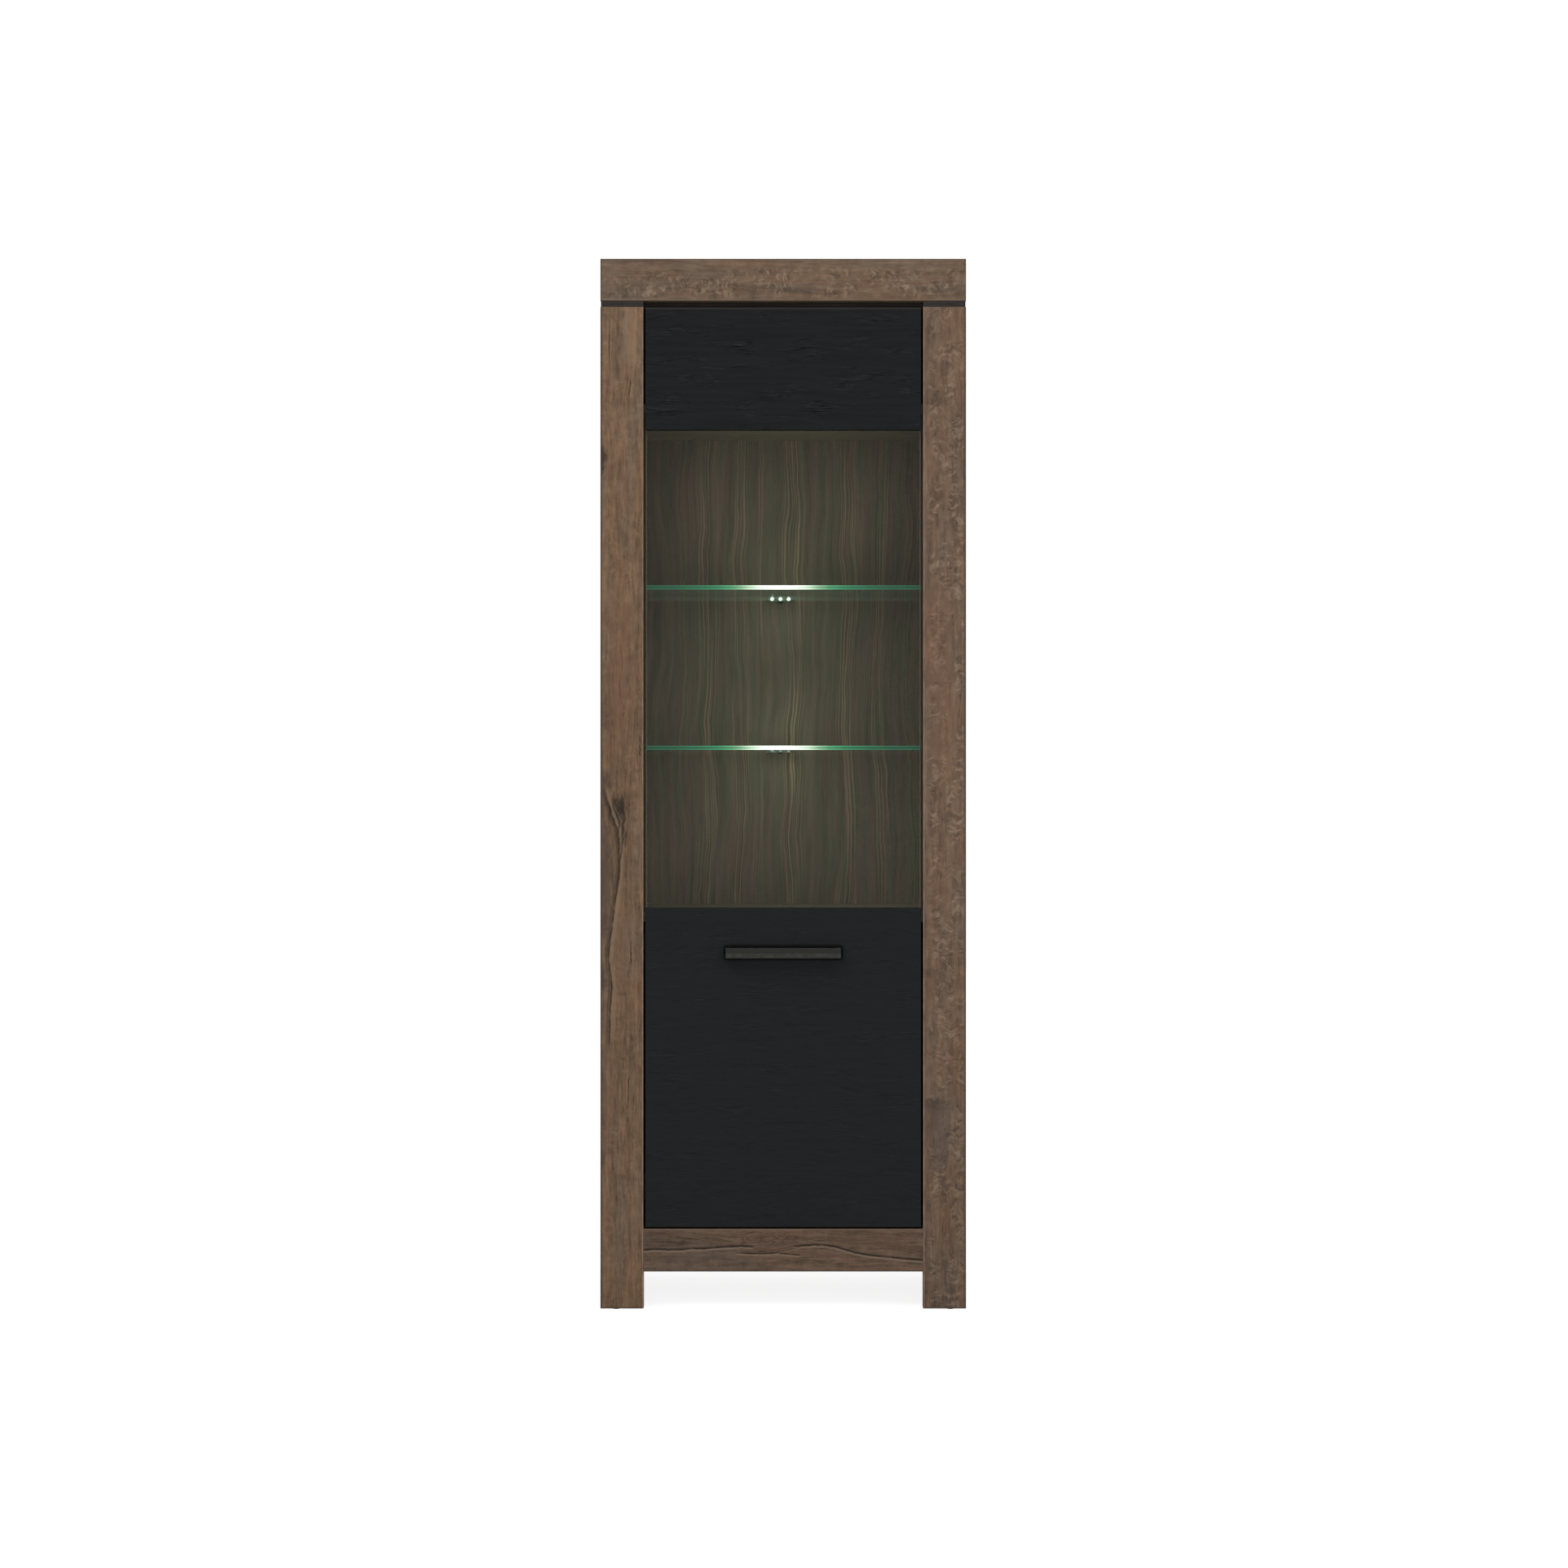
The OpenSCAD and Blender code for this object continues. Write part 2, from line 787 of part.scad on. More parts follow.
// The arm in plan, from the pin out of the cup, round the door's edge, on to the plate
arm_run = 17;
bend_r = 4;
arm_line_x = plate_t + arm_t / 2 - pin_inset;
arm_path = concat(
    [[1.5, 0]],
    arc([arm_run - bend_r, bend_r], bend_r, -90, 0),
    arc([arm_run - bend_r, arm_run - bend_r], bend_r, 0, 90),
    arc([arm_line_x + bend_r, arm_run + bend_r], bend_r, 270, 180),
    [[arm_line_x, arm_run + bend_r + 33]]
);

module hinge_arm(i) {
    z = hinge_z[i - 1];
    foot_x = -open_half + plate_t;
    color("silver") difference() {
        union() {
            translate([pin_x, pin_y, z - arm_w / 2]) linear_extrude(arm_w) {
                polygon(strip_outline(arm_path, arm_t));
            }
            rod_z([pin_x, pin_y, z - arm_w / 2], 2.3, arm_w);
            block([foot_x, foot_x + arm_t], [pin_y + 26, pin_y + 54], [z - 11, z + 11]);
        }
        rod_z([pin_x, pin_y, z - arm_w], pin_r + pin_play, 2 * arm_w);
        rod_x([foot_x - 1, arm_screw_y, z], screw_r + screw_play, arm_t + 2);
    }
}

module hinge_plate(i) {
    z = hinge_z[i - 1];
    color("silver") difference() {
        block(
            [-open_half, plate_t - open_half], [plate_y0, plate_y1], [z - plate_l / 2, z + plate_l / 2]
        );
        for (dz = [-plate_screw_z, 0, plate_screw_z]) {
            rod_x([-open_half - 1, arm_screw_y, z + dz], screw_r + screw_play, plate_t + 2);
        }
    }
}

side_panel(-1);  // side_left
side_panel(1);  // side_right
stile(-1);  // stile_left
stile(1);  // stile_right
bottom_rail();
hinge_filler(-1);  // hinge_filler_left
hinge_filler(1);  // hinge_filler_right
bottom_panel();
fixed_shelf(lower_fixed_z);  // lower_fixed_shelf
fixed_shelf(upper_fixed_z);  // upper_fixed_shelf
wood_shelf();
black_top_board();
top_panel();
top_fascia();
top_side(-1);  // top_side_left
top_side(1);  // top_side_right
top_batten();
glass_shelf(lower_glass_z);  // glass_shelf_lower
glass_shelf(upper_glass_z);  // glass_shelf_upper
shelf_pins(wood_shelf_z);  // shelf_pins_wood
shelf_pins(lower_glass_z);  // shelf_pins_lower
shelf_pins(upper_glass_z);  // shelf_pins_upper
back_panel_lower();
back_panel_upper();
back_nails();
light_clip(lower_glass_z);  // light_clip_lower
light_clip(upper_glass_z);  // light_clip_upper
light_leds(lower_glass_z);  // light_leds_lower
light_leds(upper_glass_z);  // light_leds_upper
cable_grommets();
light_driver();
cam_locks();
cam_bolts();
dowels();
glides();
wall_brackets();
carcass_screws();
door_bumpers();
magnet_catch();
catch_plate();
door_panel_upper();
door_panel_lower();
door_glass();
glass_seals();
handle_bar();
door_screws();
hinge_pins();
for (i = [1:hinge_count]) hinge_plate(i);
for (i = [1:hinge_count]) hinge_arm(i);
for (i = [1:hinge_count]) hinge_cup(i);
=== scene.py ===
"""Display cabinet: the looks of its pieces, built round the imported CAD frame, in metres."""

import math

import bmesh
import bpy
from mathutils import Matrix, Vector, noise


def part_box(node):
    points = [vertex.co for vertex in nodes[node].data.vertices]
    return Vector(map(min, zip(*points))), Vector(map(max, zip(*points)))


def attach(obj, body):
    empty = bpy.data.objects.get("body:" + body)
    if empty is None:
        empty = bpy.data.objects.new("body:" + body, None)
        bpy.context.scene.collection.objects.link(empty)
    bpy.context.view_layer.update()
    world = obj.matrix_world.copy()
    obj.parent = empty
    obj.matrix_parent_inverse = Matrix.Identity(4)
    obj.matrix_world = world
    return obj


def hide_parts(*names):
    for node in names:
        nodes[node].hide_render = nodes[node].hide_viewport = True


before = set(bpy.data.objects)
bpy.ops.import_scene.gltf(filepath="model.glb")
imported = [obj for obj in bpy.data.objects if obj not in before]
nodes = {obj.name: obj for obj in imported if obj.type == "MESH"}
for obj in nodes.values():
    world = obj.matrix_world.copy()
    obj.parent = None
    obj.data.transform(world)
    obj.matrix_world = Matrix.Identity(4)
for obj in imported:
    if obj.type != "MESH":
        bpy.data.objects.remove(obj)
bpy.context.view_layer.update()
scene = bpy.context.scene
MM = 0.001

# Places that several pieces share, all read off the frame
half_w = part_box("stile_right")[1].x
open_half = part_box("stile_right")[0].x
front_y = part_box("stile_left")[0].y
back_front_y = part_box("back_panel_upper")[0].y
light_x = (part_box("light_clip_upper")[0].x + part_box("light_clip_upper")[1].x) / 2
SHELVES = ("lower", "upper")


# ---------------------------------------------------------------- node shorthand

# Brings the noise texture's usual reach of about 0.36 to 0.64 to -1 to 1
NOISE_SPREAD = 7.0


class Shader:
    """One material's node tree, with a short method for each kind of node used."""

    def __init__(self, name):
        self.mat = bpy.data.materials.new(name)
        self.mat.use_nodes = True
        self.tree = self.mat.node_tree
        self.tree.nodes.clear()
        self.out = self.tree.nodes.new("ShaderNodeOutputMaterial")

    def node(self, kind, **settings):
        made = self.tree.nodes.new("ShaderNode" + kind)
        for key, value in settings.items():
            setattr(made, key, value)
        return made

    def put(self, socket, value):
        """Links a socket, or sets a plain value."""
        if isinstance(value, bpy.types.NodeSocket):
            self.tree.links.new(value, socket)
        else:
            socket.default_value = value

    def math(self, operation, a, b=0.0):
        made = self.node("Math", operation=operation)
        self.put(made.inputs[0], a)
        self.put(made.inputs[1], b)
        return made.outputs[0]

    def add(self, a, b):
        return self.math("ADD", a, b)

    def sub(self, a, b):
        return self.math("SUBTRACT", a, b)

    def mul(self, a, b):
        return self.math("MULTIPLY", a, b)

    def size(self, a):
        return self.math("ABSOLUTE", a)

    def total(self, *terms):
        """The sum of (weight, value) pairs, starting from one."""
        result = 1.0
        for weight, value in terms:
            result = self.add(self.mul(value, weight), result)
        return result

    def step(self, value, low, high, to_low=0.0, to_high=1.0):
        """A smooth step from to_low at low, to to_high at high."""
        made = self.node("MapRange", interpolation_type="SMOOTHSTEP")
        for socket, v in zip(made.inputs, (value, low, high, to_low, to_high)):
            self.put(socket, v)
        return made.outputs[0]

    def band(self, value, middle, inner, outer):
        """One within inner of middle, and nothing beyond outer."""
        return self.step(self.size(self.sub(value, middle)), inner, outer, 1.0, 0.0)

    def mix(self, factor, a, b):
        made = self.node("Mix", data_type="RGBA")
        self.put(made.inputs[0], factor)
        self.put(made.inputs[6], (*a, 1) if isinstance(a, tuple) else a)
        self.put(made.inputs[7], (*b, 1) if isinstance(b, tuple) else b)
        return made.outputs[2]

    def scale(self, colour, factor):
        """A colour made lighter or darker."""
        made = self.node("VectorMath", operation="SCALE")
        self.put(made.inputs[0], colour)
        self.put(made.inputs["Scale"], factor)
        return made.outputs[0]

    def tint(self, colour, gain):
        made = self.node("VectorMath", operation="MULTIPLY")
        self.put(made.inputs[0], colour)
        self.put(made.inputs[1], gain)
        return made.outputs[0]

    def point(self):
        """The object's own coordinates, in millimetres in the cabinet's frame."""
        place = self.node("TexCoord")
        grown = self.scale(place.outputs["Object"], 1000.0)
        split = self.node("SeparateXYZ")
        self.put(split.inputs[0], grown)
        return split.outputs[0], split.outputs[1], split.outputs[2]

    def vector(self, x, y, z):
        made = self.node("CombineXYZ")
        for socket, value in zip(made.inputs, (x, y, z)):
            self.put(socket, value)
        return made.outputs[0]

    def noise(self, x, y, z, detail=2.0):
        made = self.node("TexNoise", noise_dimensions="3D")
        self.put(made.inputs["Vector"], self.vector(x, y, z))
        made.inputs["Scale"].default_value = 1.0
        made.inputs["Detail"].default_value = detail
        return made.outputs[0]

    def grain(self, place, length, width, seed, detail):
        """Noise of about -1 to 1, with features of that length and width in millimetres."""
        u, v, w = place
        raw = self.noise(
            self.add(self.mul(u, 1 / length), seed),
            self.mul(v, 1 / width), self.mul(w, 1 / width), detail,
        )
        return self.mul(self.sub(raw, 0.5), NOISE_SPREAD)

    def path(self, value, points):
        """Straight runs through evenly spaced points, each (value, result)."""
        (x0, _), (x1, _) = points[0], points[-1]
        low = min(p[1] for p in points)
        high = max(p[1] for p in points)
        made = self.node("FloatCurve")
        curve = made.mapping.curves[0]
        while len(curve.points) < len(points):
            curve.points.new(0.5, 0.5)
        for point, (x, y) in zip(curve.points, points):
            point.location = ((x - x0) / (x1 - x0), (y - low) / (high - low))
            point.handle_type = "VECTOR"
        made.mapping.update()
        self.put(made.inputs["Value"], self.mul(self.sub(value, x0), 1 / (x1 - x0)))
        return self.add(self.mul(made.outputs[0], high - low), low)

    def bump(self, relief, distance, strength=1.0):
        """A normal from a relief whose unit stands for that distance in metres."""
        made = self.node("Bump")
        made.inputs["Strength"].default_value = strength
        made.inputs["Distance"].default_value = distance
        self.put(made.inputs["Height"], relief)
        return made.outputs[0]

    def surface(self, colour, roughness, normal=None, **plain):
        """A Principled surface; plain holds numbers set on its own sockets."""
        made = self.node("BsdfPrincipled")
        self.put(made.inputs["Base Color"], (*colour, 1) if isinstance(colour, tuple) else colour)
        self.put(made.inputs["Roughness"], roughness)
        if normal is not None:
            self.put(made.inputs["Normal"], normal)
        for key, value in plain.items():
            made.inputs[key.replace("_", " ")].default_value = value
        self.put(self.out.inputs[0], made.outputs[0])
        return made


# ---------------------------------------------------------------- colours of the oak

WARM = (0.158, 0.100, 0.064)
GREY = (0.140, 0.099, 0.071)
RED = (0.152, 0.084, 0.056)
TAN = (0.262, 0.192, 0.135)
SHADE = (0.062, 0.046, 0.035)
KNOT = (0.032, 0.024, 0.020)
KNOT_SHADE = (0.082, 0.063, 0.050)
SPARK = (0.30, 0.225, 0.165)
RING = (0.072, 0.042, 0.034)
PALE_PATCH = (0.175, 0.122, 0.085)
GREY_PATCH = (0.088, 0.068, 0.058)
CRACK_SHADE = (0.050, 0.036, 0.028)
CRACK_RIM = (0.235, 0.170, 0.115)
CRACK_CORE = (0.030, 0.022, 0.016)
EDGE_DARK = (0.056, 0.042, 0.031)
# Painted highlight down the stiles' inner edges
STILE_PAINTED_HIGHLIGHT = (0.285, 0.210, 0.172)
FASCIA_LIGHT = (0.26, 0.19, 0.13)
RAIL_LIGHT = (0.235, 0.165, 0.120)


# ---------------------------------------------------------------- cracks in the oak


def smooth_path(points, count):
    """Evenly spaced points on the smooth curve through points, each (along, across)."""
    ends = [points[0], *points, points[-1]]
    fine = []
    for a, b, c, d in zip(ends, ends[1:], ends[2:], ends[3:]):
        for k in range(12):
            t = k / 12
            across = 0.5 * (
                2 * b[1] + (c[1] - a[1]) * t + (2 * a[1] - 5 * b[1] + 4 * c[1] - d[1]) * t * t
                + (3 * b[1] - a[1] - 3 * c[1] + d[1]) * t ** 3
            )
            fine.append((b[0] + (c[0] - b[0]) * t, across))
    fine.append(points[-1])
    first, last = fine[0][0], fine[-1][0]
    return [(first + (last - first) * k / count,
             across_at(fine, first + (last - first) * k / count)) for k in range(count + 1)]


def across_at(path, along):
    """Where a path is at that place along the grain."""
    for (u0, v0), (u1, v1) in zip(path, path[1:]):
        if u0 <= along <= u1:
            return v0 + (v1 - v0) * (along - u0) / max(u1 - u0, 1e-9)
    return path[0][1] if along < path[0][0] else path[-1][1]


class Crack:
    """A crack along the grain, in millimetres.

    points run along it, widths are at its two ends, depth is how far it is cut in, and lit is
    the side of its light rim. It fades over fade at both ends. glow and dark are the strengths
    of rim and core, and soft is the reach of the broad shade beside it.
    """

    def __init__(self, points, widths, depth, lit, fade, glow, dark=0.9, soft=0.0):
        self.path = smooth_path(points, 28)
        self.widths = widths
        self.depth = depth
        self.lit = lit
        self.fade = fade
        self.glow = glow
        self.dark = dark
        self.soft = soft
        self.first, self.last = self.path[0][0], self.path[-1][0]

    def groove(self, along, across):
        """How far in, in millimetres, the board's face stands at that place."""
        if not self.first <= along <= self.last:
            return 0.0
        share = (along - self.first) / (self.last - self.first)
        width = self.widths[0] + (self.widths[1] - self.widths[0]) * share
        ends = min(1.0, (along - self.first) / self.fade, (self.last - along) / self.fade)
        off = (across - across_at(self.path, along)) / width
        return self.depth * ends * math.exp(-off * off)

    def paint(self, s, u, v, colour, relief):
        """The dark core of the crack and the light rim beside it."""
        wobble = s.mul(s.sub(s.noise(s.mul(u, 0.10), self.first, 0.0), 0.5), 5.0)
        near = s.sub(v, s.path(u, self.path))
        off = s.add(near, wobble)
        narrow, wide = (1 / w for w in self.widths)
        off = s.mul(off, s.step(u, self.first, self.last, narrow, wide))
        there = s.mul(
            s.step(u, self.first, self.first + self.fade),
            s.step(u, self.last - self.fade, self.last, 1.0, 0.0),
        )
        broken = s.step(s.noise(s.mul(u, 0.04), self.last, 0.0), 0.34, 0.55, 0.45, 1.0)
        core = s.mul(s.mul(s.band(off, 0.0, 0.35, 1.25), there), broken)
        rim = s.mul(s.band(off, self.lit * 2.1, 0.35, 1.25), there)
        if self.soft:
            shade = s.band(near, -0.8 * self.lit * self.soft, 0.3, self.soft)
            light = s.band(near, 1.3 * self.lit * self.soft, 0.5, 1.2 * self.soft)
            colour = s.mix(s.mul(s.mul(shade, there), 0.60), colour, CRACK_SHADE)
            colour = s.mix(s.mul(s.mul(light, there), 0.38), colour, TAN)
        colour = s.mix(s.mul(rim, self.glow), colour, CRACK_RIM)
        colour = s.mix(s.mul(core, self.dark), colour, CRACK_CORE)
        return colour, s.sub(relief, s.mul(core, 3.0))


# Along the left stile: height from the floor, and distance in from its outer edge
STILE_CRACKS = [
    Crack([(482, 16), (531, 17.5), (585, 19), (612, 22), (637, 19.5), (660, 16), (691, 16.5),
           (723, 21), (756, 25), (801, 31), (832, 35.5), (883, 35), (919, 31), (935, 23),
           (976, 11), (1012, 2)], (1.5, 2.8), 1.6, 1.0, 50.0, 0.45, 0.85, 4.8),
    Crack([(849, 37), (877, 40.5), (922, 43), (940, 46), (962, 41)], (1.6, 2.2), 1.0, 1.0, 14.0,
          0.3, 0.75),
    Crack([(905, 33), (930, 36), (950, 28), (968, 22)], (2.0, 1.5), 0.8, 1.0, 10.0, 0.35, 0.7),
    Crack([(1770, 18), (1830, 17), (1880, 17.5), (1912, 18)], (1.0, 1.4), 0.3, 1.0, 60.0, 0.3),
    Crack([(390, 53), (415, 53), (430, 54), (452, 55)], (0.9, 1.6), 0.5, -1.0, 12.0, 0.25),
    Crack([(655, 58), (675, 58.5), (705, 58)], (1.5, 1.5), 0.5, -1.0, 8.0, 0.25),
    Crack([(1738, 55), (1757, 56), (1775, 58)], (1.2, 1.8), 0.5, 1.0, 8.0, 0.35),
    Crack([(1050, 75), (1075, 76), (1098, 75)], (1.4, 1.4), 0.4, -1.0, 10.0, 0.2),
    Crack([(1150, 41), (1195, 37), (1230, 42), (1275, 38)], (0.8, 1.1), 0.2, 1.0, 18.0, 0.2, 0.5),
]
# Along the rail: distance from its left end, and height above its lower edge
RAIL_CRACKS = [
    Crack([(-8, 41), (32, 42.4), (61, 41.2), (90, 43.5), (120, 44), (152, 46.6), (193, 48.2),
           (213, 46.6)], (1.9, 1.5), 1.0, -1.0, 8.0, 0.75, 0.9, 2.0),
    Crack([(280, 47.5), (300, 49), (335, 50.7), (367, 47), (399, 37.3), (428, 31.6), (470, 27),
           (510, 23.4), (545, 21)], (1.7, 1.7), 1.1, -1.0, 12.0, 0.6, 0.9, 2.2),
    Crack([(172, 36.4), (199, 34.5), (238, 34.2), (252, 35.4), (287, 32.7), (306, 31)],
          (1.5, 1.5), 0.7, -1.0, 14.0, 0.9),
    Crack([(240, 33), (262, 38), (285, 43), (300, 45)], (1.0, 1.0), 0.3, -1.0, 12.0, 0.5, 0.6),
    Crack([(82, 56), (105, 62), (129, 65), (152, 61), (176, 55)], (0.9, 0.9), 0.2, 1.0, 15.0,
          0.2, 0.55),
    Crack([(310, 58), (330, 55), (352, 51)], (1.0, 1.0), 0.2, 1.0, 8.0, 0.8, 0.2),
]


# ---------------------------------------------------------------- oak


def oak_ground(s, place, seed, warmth, streaks):
    """Rough-sawn oak decor: drifting colour, streaks along the grain and pores."""
    u, v, w = place
    warp = s.grain(place, 130.0, 30.0, seed + 1.7, 1.0)
    bent = (u, s.add(v, s.mul(warp, 2.2)), w)
    drift = s.grain(place, 170.0, 26.0, seed + 5.1, 1.0)
    red = s.grain(bent, 120.0, 13.0, seed + 9.3, 1.0)
    colour = s.mix(s.step(drift, -1.1 - warmth, 1.1 - warmth), GREY, WARM)
    colour = s.mix(s.step(red, 0.3, 1.5, 0.0, 0.55), colour, RED)
    broad = s.grain(bent, 240.0, 21.0, seed + 2.2, 2.0)
    streak = s.grain(bent, 90.0, 6.0, seed + 3.9, 3.0)
    fine = s.grain(bent, 34.0, 2.4, seed + 6.4, 2.0)
    mottle = s.grain(place, 19.0, 12.0, seed + 12.1, 3.0)
    pore = s.step(s.grain(bent, 11.0, 1.0, seed + 8.8, 1.0), -0.55, -1.35)
    tone = s.total(
        (0.10, broad), (0.22 * streaks, streak), (0.20 * streaks, fine), (0.12, mottle),
        (-0.30 * streaks, pore),
    )
    relief = s.total((0.4, streak), (0.4, fine), (-1.0, pore))
    return s.scale(colour, tone), relief


def oak_flecks(s, place, seed, colour, relief, amount, zone):
    """Light and dark marks that run ragged across the grain in clusters, as sawn oak shows."""
    u, v, w = place
    middle, reach = zone
    curl = s.mul(s.grain(place, 40.0, 24.0, seed + 4.4, 2.0), 7.0)
    curled = (s.add(u, curl), v, w)
    stroke = s.grain(curled, 7.0, 15.0, seed + 2.6, 3.0)
    cluster = s.step(s.grain(place, 60.0, 24.0, seed + 7.7, 2.0), -1.0, 0.6)
    cluster = s.mul(cluster, s.band(v, middle, reach * 0.6, reach))
    light = s.mul(s.step(stroke, 0.1, 1.2), cluster)
    dark = s.mul(s.step(stroke, -0.1, -1.2), cluster)
    spark = s.mul(s.step(s.grain(curled, 3.2, 6.0, seed + 3.1, 1.0), 0.85, 1.5), cluster)
    colour = s.mix(s.mul(light, 0.66 * amount), colour, TAN)
    colour = s.mix(s.mul(dark, 0.62 * amount), colour, SHADE)
    colour = s.mix(s.mul(spark, 0.45 * amount), colour, SPARK)
    return colour, s.add(relief, s.mul(s.sub(light, dark), 1.8 * amount))


def oak_breaks(s, place, breaks, colour):
    """Dark patches that start sharply across the grain and fade along it.

    Each is a start, a signed fade along the grain, a middle, a reach and a strength.
    """
    u, v, _ = place
    ragged = s.mul(s.grain(place, 12.0, 9.0, 31.0, 2.0), 3.0)
    for start, fade, middle, reach, dark in breaks:
        off = s.mul(s.sub(s.add(u, ragged), start), math.copysign(1.0, fade))
        along = s.mul(s.step(off, 2.0, abs(fade), 1.0, 0.0), s.step(off, -2.5, 1.5))
        mask = s.mul(along, s.band(v, middle, reach * 0.35, reach))
        colour = s.mix(s.mul(mask, dark), colour, SHADE)
    return colour


def oak_stains(s, place, stains, colour):
    """Soft ragged patches, each a place, a reach both ways, a strength and a colour."""
    u, v, _ = place
    ragged = s.mul(s.grain(place, 20.0, 7.0, 47.0, 3.0), 0.28)
    for along, across, reach_u, reach_v, strength, tone in stains:
        du = s.mul(s.sub(u, along), 1 / reach_u)
        dv = s.mul(s.sub(v, across), 1 / reach_v)
        far = s.math("SQRT", s.add(s.mul(du, du), s.mul(dv, dv)))
        mask = s.step(s.add(far, ragged), 0.35, 1.1, strength, 0.0)
        colour = s.mix(mask, colour, tone)
    return colour


def oak_figures(s, place, figures, colour):
    """Rings round a place, as growth rings show where a board is cut near a knot.

    Each is a place, a reach both ways, a number of rings and a strength.
    """
    u, v, _ = place
    ragged = s.mul(s.grain(place, 22.0, 9.0, 61.0, 2.0), 0.12)
    for along, across, reach_u, reach_v, rings, strength in figures:
        du = s.mul(s.sub(u, along), 1 / reach_u)
        dv = s.mul(s.sub(v, across), 1 / reach_v)
        far = s.add(s.math("SQRT", s.add(s.mul(du, du), s.mul(dv, dv))), ragged)
        ring = s.step(s.math("SINE", s.mul(far, 2 * math.pi * rings)), 0.1, 0.95)
        inside = s.step(far, 0.75, 1.05, strength, 0.0)
        colour = s.mix(s.mul(inside, 0.35), colour, RED)
        colour = s.mix(s.mul(ring, inside), colour, RING)
    return colour


def oak_material(name, place_of, seed, warmth, streaks, flecks, zone=(0.0, 1e6),
                 gain=(1, 1, 1), cracks=(), breaks=(), stains=(), figures=(), edges=None,
                 drift=None):
    """Oak decor whose grain runs along the first coordinate that place_of gives.

    warmth, streaks and flecks are strengths, zone is where the flecks stand across the board
    as (middle, reach), and drift is a change of brightness along it as the four numbers of
    Shader.step.
    """
    s = Shader(name)
    x, y, z = s.point()
    place = place_of(s, x, y, z)
    colour, relief = oak_ground(s, place, seed, warmth, streaks)
    colour, relief = oak_flecks(s, place, seed, colour, relief, flecks, zone)
    colour = oak_stains(s, place, stains, colour)
    colour = oak_figures(s, place, figures, colour)
    colour = oak_breaks(s, place, breaks, colour)
    for crack in cracks:
        colour, relief = crack.paint(s, place[0], place[1], colour, relief)
    if drift:
        colour = s.scale(colour, s.step(place[0], *drift))
    if edges:
        colour = edges(s, x, y, z, colour)
    colour = s.tint(colour, gain)
    roughness = s.step(relief, -1.0, 3.0, 0.66, 0.50)
    s.surface(colour, roughness, s.bump(relief, 0.00012, 0.6), Specular_IOR_Level=0.25)
    return s.mat


def at_face(s, y):
    """One on the cabinet's front face, and nothing behind it."""
    return s.step(y, front_y / MM + 1.0, front_y / MM + 2.2, 1.0, 0.0)


def stile_edges(s, x, y, z, colour):
    """A painted highlight down the inner edge; dark lines down the outer edge and at the foot."""
    out = s.size(x)
    # Painted highlight on the inner edge, the light its eased edge would catch, broken up along
    # it
    highlight_mask = s.step(s.noise(s.mul(z, 0.03), 0.0, 0.0, 3.0), 0.40, 0.60, 0.45, 1.0)
    inner = s.mul(s.mul(s.band(out, open_half / MM, 1.6, 3.2), highlight_mask), at_face(s, y))
    colour = s.mix(s.mul(inner, 0.75), colour, STILE_PAINTED_HIGHLIGHT)
    outer = s.band(out, half_w / MM, 2.2, 4.6)
    foot = s.band(z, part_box("stile_left")[0].z / MM, 1.6, 4.0)
    dark = s.mul(s.math("MAXIMUM", outer, foot), at_face(s, y))
    return s.mix(s.mul(dark, 0.8), colour, EDGE_DARK)


def fascia_edges(s, x, y, z, colour):
    """A light lower edge, and dark lines at the top and at both ends."""
    lo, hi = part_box("top_fascia")
    lower = s.band(z, lo.z / MM, 1.3, 2.6)
    colour = s.mix(s.mul(lower, 0.55), colour, FASCIA_LIGHT)
    upper = s.band(z, hi.z / MM, 1.3, 2.5)
    ends = s.band(s.size(x), half_w / MM, 1.8, 4.0)
    lines = s.mul(s.math("MAXIMUM", upper, ends), at_face(s, y))
    return s.mix(s.mul(lines, 0.65), colour, EDGE_DARK)


def rail_edges(s, x, y, z, colour):
    """A light upper edge and a dark lower one."""
    lo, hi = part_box("bottom_rail")
    upper = s.band(z, hi.z / MM, 1.4, 2.8)
    colour = s.mix(s.mul(upper, 0.55), colour, RAIL_LIGHT)
    lower = s.band(z, lo.z / MM, 1.3, 2.5)
    return s.mix(s.mul(lower, 0.8), colour, EDGE_DARK)


def upright(s, x, y, z):
    return z, x, y


def left_upright(s, x, y, z):
    return z, s.add(x, half_w / MM), y


def right_upright(s, x, y, z):
    return z, s.sub(x, open_half / MM), y


def level(s, x, y, z):
    return x, z, y


def rail_level(s, x, y, z):
    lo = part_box("bottom_rail")[0]
    return s.sub(x, lo.x / MM), s.sub(z, lo.z / MM), y


def fascia_level(s, x, y, z):
    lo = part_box("top_fascia")[0]
    return s.sub(x, lo.x / MM), s.sub(z, lo.z / MM), y


def flat_level(s, x, y, z):
    return x, y, z


def side_upright(s, x, y, z):
    return z, y, x


def side_level(s, x, y, z):
    return y, z, x


